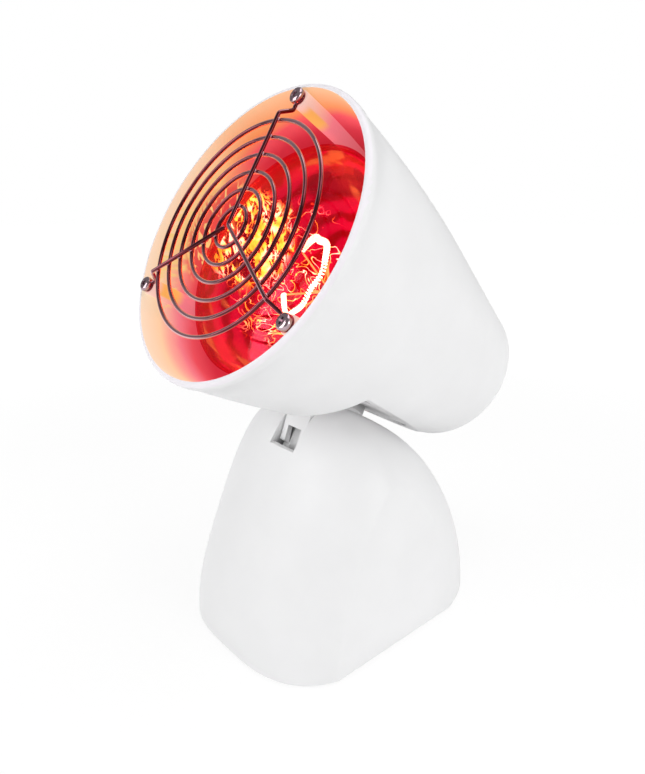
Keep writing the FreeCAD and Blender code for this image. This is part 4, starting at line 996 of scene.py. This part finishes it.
@dataclass
class Bulb:
    """Red reflector bulb with its glowing filament, and the holder behind it."""

    loop_half_width: float = 11.0 * MM
    loop_half_height: float = 20.0 * MM
    loop_station: float = 44.1 * MM
    loop_gap: float = 35.0
    coil_radius: float = 1.5 * MM
    coil_wire: float = 0.4 * MM
    coil_turns: int = 62
    points_per_turn: int = 10
    waves: tuple[Triple, ...] = ((1.0, 3.3, 0.0), (0.6, 7.1, 1.0))
    wave_reach: float = 0.05
    wave_depth: float = 0.4 * MM
    end_coil: float = 0.7
    top_swell: float = 0.35

    def build(self) -> None:
        """Build glass, mirror and filament, and dress the rest."""
        settle(merged_copy("bulb_glass", "bulb_envelope", RubyGlass().make(), GLASS_CREASE),
               Body.HEAD, "red_glass", "bulb_glass")
        settle(merged_copy("bulb_mirror", "bulb_reflector", GlowingMirror().make(),
                           GLASS_CREASE), Body.HEAD, "mirror_film", "bulb_mirror")
        settle(self.coil(), Body.HEAD, "filament_metal", "filament")
        # The support wires get a painted yellow glow, standing for the filament's light on
        # them.
        dress(WhiteHot("support_wire", (1.0, 1.2, 0.12), 8.0).make(), "filament_supports")
        stem = RoughSolid("stem_glass", (0.55, 0.16, 0.12), (0.4, 0.08, 0.07), roughness=0.15,
                          pit_scale=120.0, pit_depth=0.00005)
        dress(stem.make(), "bulb_stem")
        self.dress_holder()

    def dress_holder(self) -> None:
        """Give the cap, the holder and its bracket their finishes."""
        aluminium = WorkedMetal("cap_aluminium", (0.78, 0.78, 0.8), (0.6, 0.6, 0.6), 0.35)
        dress(aluminium.make(), "bulb_cap")
        brass = WorkedMetal("contact_brass", (0.78, 0.6, 0.26), (0.5, 0.36, 0.16), 0.3)
        dress(brass.make(), "bulb_contact", "lampholder_sleeve", "lampholder_contact")
        ceramic = RoughSolid("holder_ceramic", (0.86, 0.84, 0.8), (0.78, 0.76, 0.72),
                             roughness=0.35, pit_scale=700.0, pit_depth=0.00004)
        dress(ceramic.make(), "lampholder_body")
        zinc = WorkedMetal("bracket_zinc", (0.62, 0.63, 0.64), (0.48, 0.49, 0.5), 0.4)
        dress(zinc.make(), "lampholder_bracket")

    def coil_spot(self, index: int, count: int) -> Vector:
        """Find a point of the fine coil.

        Args:
            index: the point's number, from 0 to count.
            count: number of steps along the coil.

        Returns:
            The point in the head's frame.
        """
        start = math.radians(self.loop_gap - 180)
        turn = start * (1 - 2 * index / count)
        wind = 2 * math.pi * index / self.points_per_turn
        sag = sum(size * math.sin(rate * turn + phase) for size, rate, phase in self.waves)
        outward = Vector((math.cos(turn), 0, math.sin(turn)))
        reach = 1 + self.wave_reach * sag
        centre = Vector((self.loop_half_width * outward.x * reach,
                         self.loop_station + self.wave_depth * sag,
                         self.loop_half_height * outward.z * reach))
        swell = self.top_swell * max(0.0, math.sin(turn)) ** 2
        radius = self.coil_radius * (self.end_coil + swell)
        return centre + (outward * math.cos(wind) + Vector((0, math.sin(wind), 0))) * radius

    def coil(self) -> bpy.types.Object:
        """Wind the filament's fine coil along its open loop.

        Returns:
            The coil as a mesh piece.
        """
        curve = bpy.data.curves.new("coil_line", "CURVE")
        curve.dimensions = "3D"
        curve.bevel_depth = self.coil_wire
        curve.bevel_resolution = 2
        curve.use_fill_caps = True
        count = self.coil_turns * self.points_per_turn
        line = curve.splines.new("POLY")
        line.points.add(count)
        for index, point in enumerate(line.points):
            point.co = (*(HEAD @ self.coil_spot(index, count)), 1.0)
        holder = bpy.data.objects.new("coil_line", curve)
        bpy.context.scene.collection.objects.link(holder)
        depsgraph = bpy.context.evaluated_depsgraph_get()
        mesh = bpy.data.meshes.new_from_object(holder.evaluated_get(depsgraph))
        bpy.data.objects.remove(holder)
        mesh.name = "glowing_coil"
        glow = WhiteHot("filament_glow", (0.5, 1.6, 0.4), 30.0).make()
        return new_object("glowing_coil", mesh, glow)


@dataclass(frozen=True)
class SoftBox:
    """Square softbox that faces the lamp's middle."""

    name: str
    place: Triple
    width: float
    power: float
    aim: Triple = (0.0, 0.0, 0.15)

    def build(self) -> None:
        """Hang the softbox in the scene."""
        light = bpy.data.lights.new(self.name, "AREA")
        light.size = self.width
        light.energy = self.power
        holder = bpy.data.objects.new(self.name, light)
        aim = Vector(self.aim) - Vector(self.place)
        holder.location = self.place
        holder.rotation_euler = aim.to_track_quat("-Z", "Y").to_euler()
        bpy.context.scene.collection.objects.link(holder)


@dataclass
class Studio:
    """Pale floor, soft lamps, white surroundings and the camera."""

    camera_place: Vector = Vector((0.23949, -0.23065, 0.23177))
    camera_back: Vector = Vector((0.7152, -0.6302, 0.3022))
    lens: float = 29.51
    sensor: float = 36.0
    clip_start: float = 0.01
    surround: float = 0.3
    softboxes: tuple[SoftBox, ...] = (
        SoftBox("left_softbox", (-0.5, -1.3, 0.55), width=1.0, power=11.2),
        SoftBox("right_softbox", (1.4, 0.1, 0.4), width=0.8, power=8.3),
        SoftBox("top_softbox", (0.3, 0.2, 1.5), width=1.2, power=9.8))
    floor_radius: float = 4.0
    floor_segments: int = 96
    floor_cloud: float = 6.0
    floor_greys: Pair = (0.93, 0.95)
    shadow_reach: float = 0.3
    white_reach: float = 0.8
    near_white: float = 0.85
    white_strength: float = 1.03

    def build(self) -> None:
        """Set up the camera, the world, the lamps and the floor."""
        self.build_camera()
        self.build_world()
        for softbox in self.softboxes:
            softbox.build()
        self.build_floor()
        bpy.context.scene.view_settings.view_transform = "Standard"

    def build_camera(self) -> None:
        """Place the camera."""
        back = self.camera_back.normalized()
        right = Vector((0, 0, 1)).cross(back).normalized()
        up = back.cross(right)
        turn = Matrix((right, up, back)).transposed().to_4x4()
        camera = bpy.data.cameras.new("camera")
        camera.lens = self.lens
        camera.sensor_width = self.sensor
        camera.clip_start = self.clip_start
        holder = bpy.data.objects.new("camera", camera)
        holder.matrix_world = Matrix.Translation(self.camera_place) @ turn
        bpy.context.scene.collection.objects.link(holder)
        bpy.context.scene.camera = holder

    def build_world(self) -> None:
        """Plain pale light all round, and white where the camera sees the surroundings."""
        world = bpy.data.worlds.new("surroundings")
        world.use_nodes = True
        tree = world.node_tree
        tree.nodes.clear()
        path = tree.nodes.new("ShaderNodeLightPath")
        shade = tree.nodes.new("ShaderNodeMix")
        shade.data_type = "RGBA"
        shade.inputs[6].default_value = (*(self.surround,) * 3, 1.0)
        shade.inputs[7].default_value = (*WHITE, 1.0)
        tree.links.new(path.outputs["Is Camera Ray"], shade.inputs[0])
        light = tree.nodes.new("ShaderNodeBackground")
        tree.links.new(shade.outputs[2], light.inputs["Color"])
        output = tree.nodes.new("ShaderNodeOutputWorld")
        tree.links.new(light.outputs[0], output.inputs["Surface"])
        bpy.context.scene.world = world

    def build_floor(self) -> None:
        """Lay the pale floor, white where it is seen, with the object's shadow kept faint."""
        shell = bmesh.new()
        bmesh.ops.create_circle(shell, cap_ends=True, segments=self.floor_segments,
                                radius=self.floor_radius)
        graph = Graph("pale_floor")
        darker, lighter = self.floor_greys
        tone = graph.ramp(graph.noise(self.floor_cloud), (NOISE_LOW, (darker,) * 3),
                          (NOISE_HIGH, (lighter,) * 3))
        matt = graph.shader("BsdfDiffuse", Color=tone)
        plain = graph.shader("Emission", Color=WHITE, Strength=self.white_strength)
        path = graph.node("ShaderNodeLightPath")
        seen = graph.larger(path.outputs["Is Camera Ray"], path.outputs["Is Glossy Ray"])
        seen = graph.larger(seen, path.outputs["Is Transmission Ray"])
        away = graph.node("ShaderNodeVectorMath", operation="LENGTH")
        graph.feed(away.inputs[0], graph.place)
        whiteness = graph.span(away.outputs["Value"], self.shadow_reach, self.white_reach,
                               self.near_white, 1.0)
        material = graph.finish(graph.blend(graph.product(seen, whiteness), matt, plain))
        floor = new_object("floor", mesh_of(shell, "floor"), material)


def main() -> None:
    """Build every sub-assembly in order."""
    logging.basicConfig(level=logging.INFO, format="%(name)s: %(message)s",
                        stream=sys.stdout)
    white = MouldedPlastic("white_plastic", (0.83, 0.83, 0.835)).make()
    steel = WorkedMetal("screw_steel", (0.6, 0.6, 0.62), (0.42, 0.42, 0.44), 0.3).make()
    # Painted reflection: the guard's chrome is coloured dark maroon for the dark room and the
    # red mouth that the wire mirrors, and its edges get a painted light sheen.
    chrome = WorkedMetal("guard_chrome", (0.15, 0.022, 0.035), (0.08, 0.01, 0.016), 0.09,
                         relief=0.01, coat=0.3, edge=(0.85, 0.5, 0.56)).make()
    # Painted reflection: the screw and weld metal are tinted pink for the bulb's red light on
    # them.
    bright = WorkedMetal("screw_chrome", (0.5, 0.38, 0.42), (0.34, 0.22, 0.26), 0.12,
                         relief=0.04).make()
    weld = WorkedMetal("weld_metal", (0.66, 0.42, 0.45), (0.4, 0.2, 0.22), 0.25).make()
    Studio().build()
    Stand(white, steel).build()
    Switch().build()
    Shade(white, steel).build()
    Guard(chrome, bright, weld).build()
    Bulb().build()
    dress(steel, "lampholder_screws", "bracket_screws")


if __name__ == "__main__":
    main()
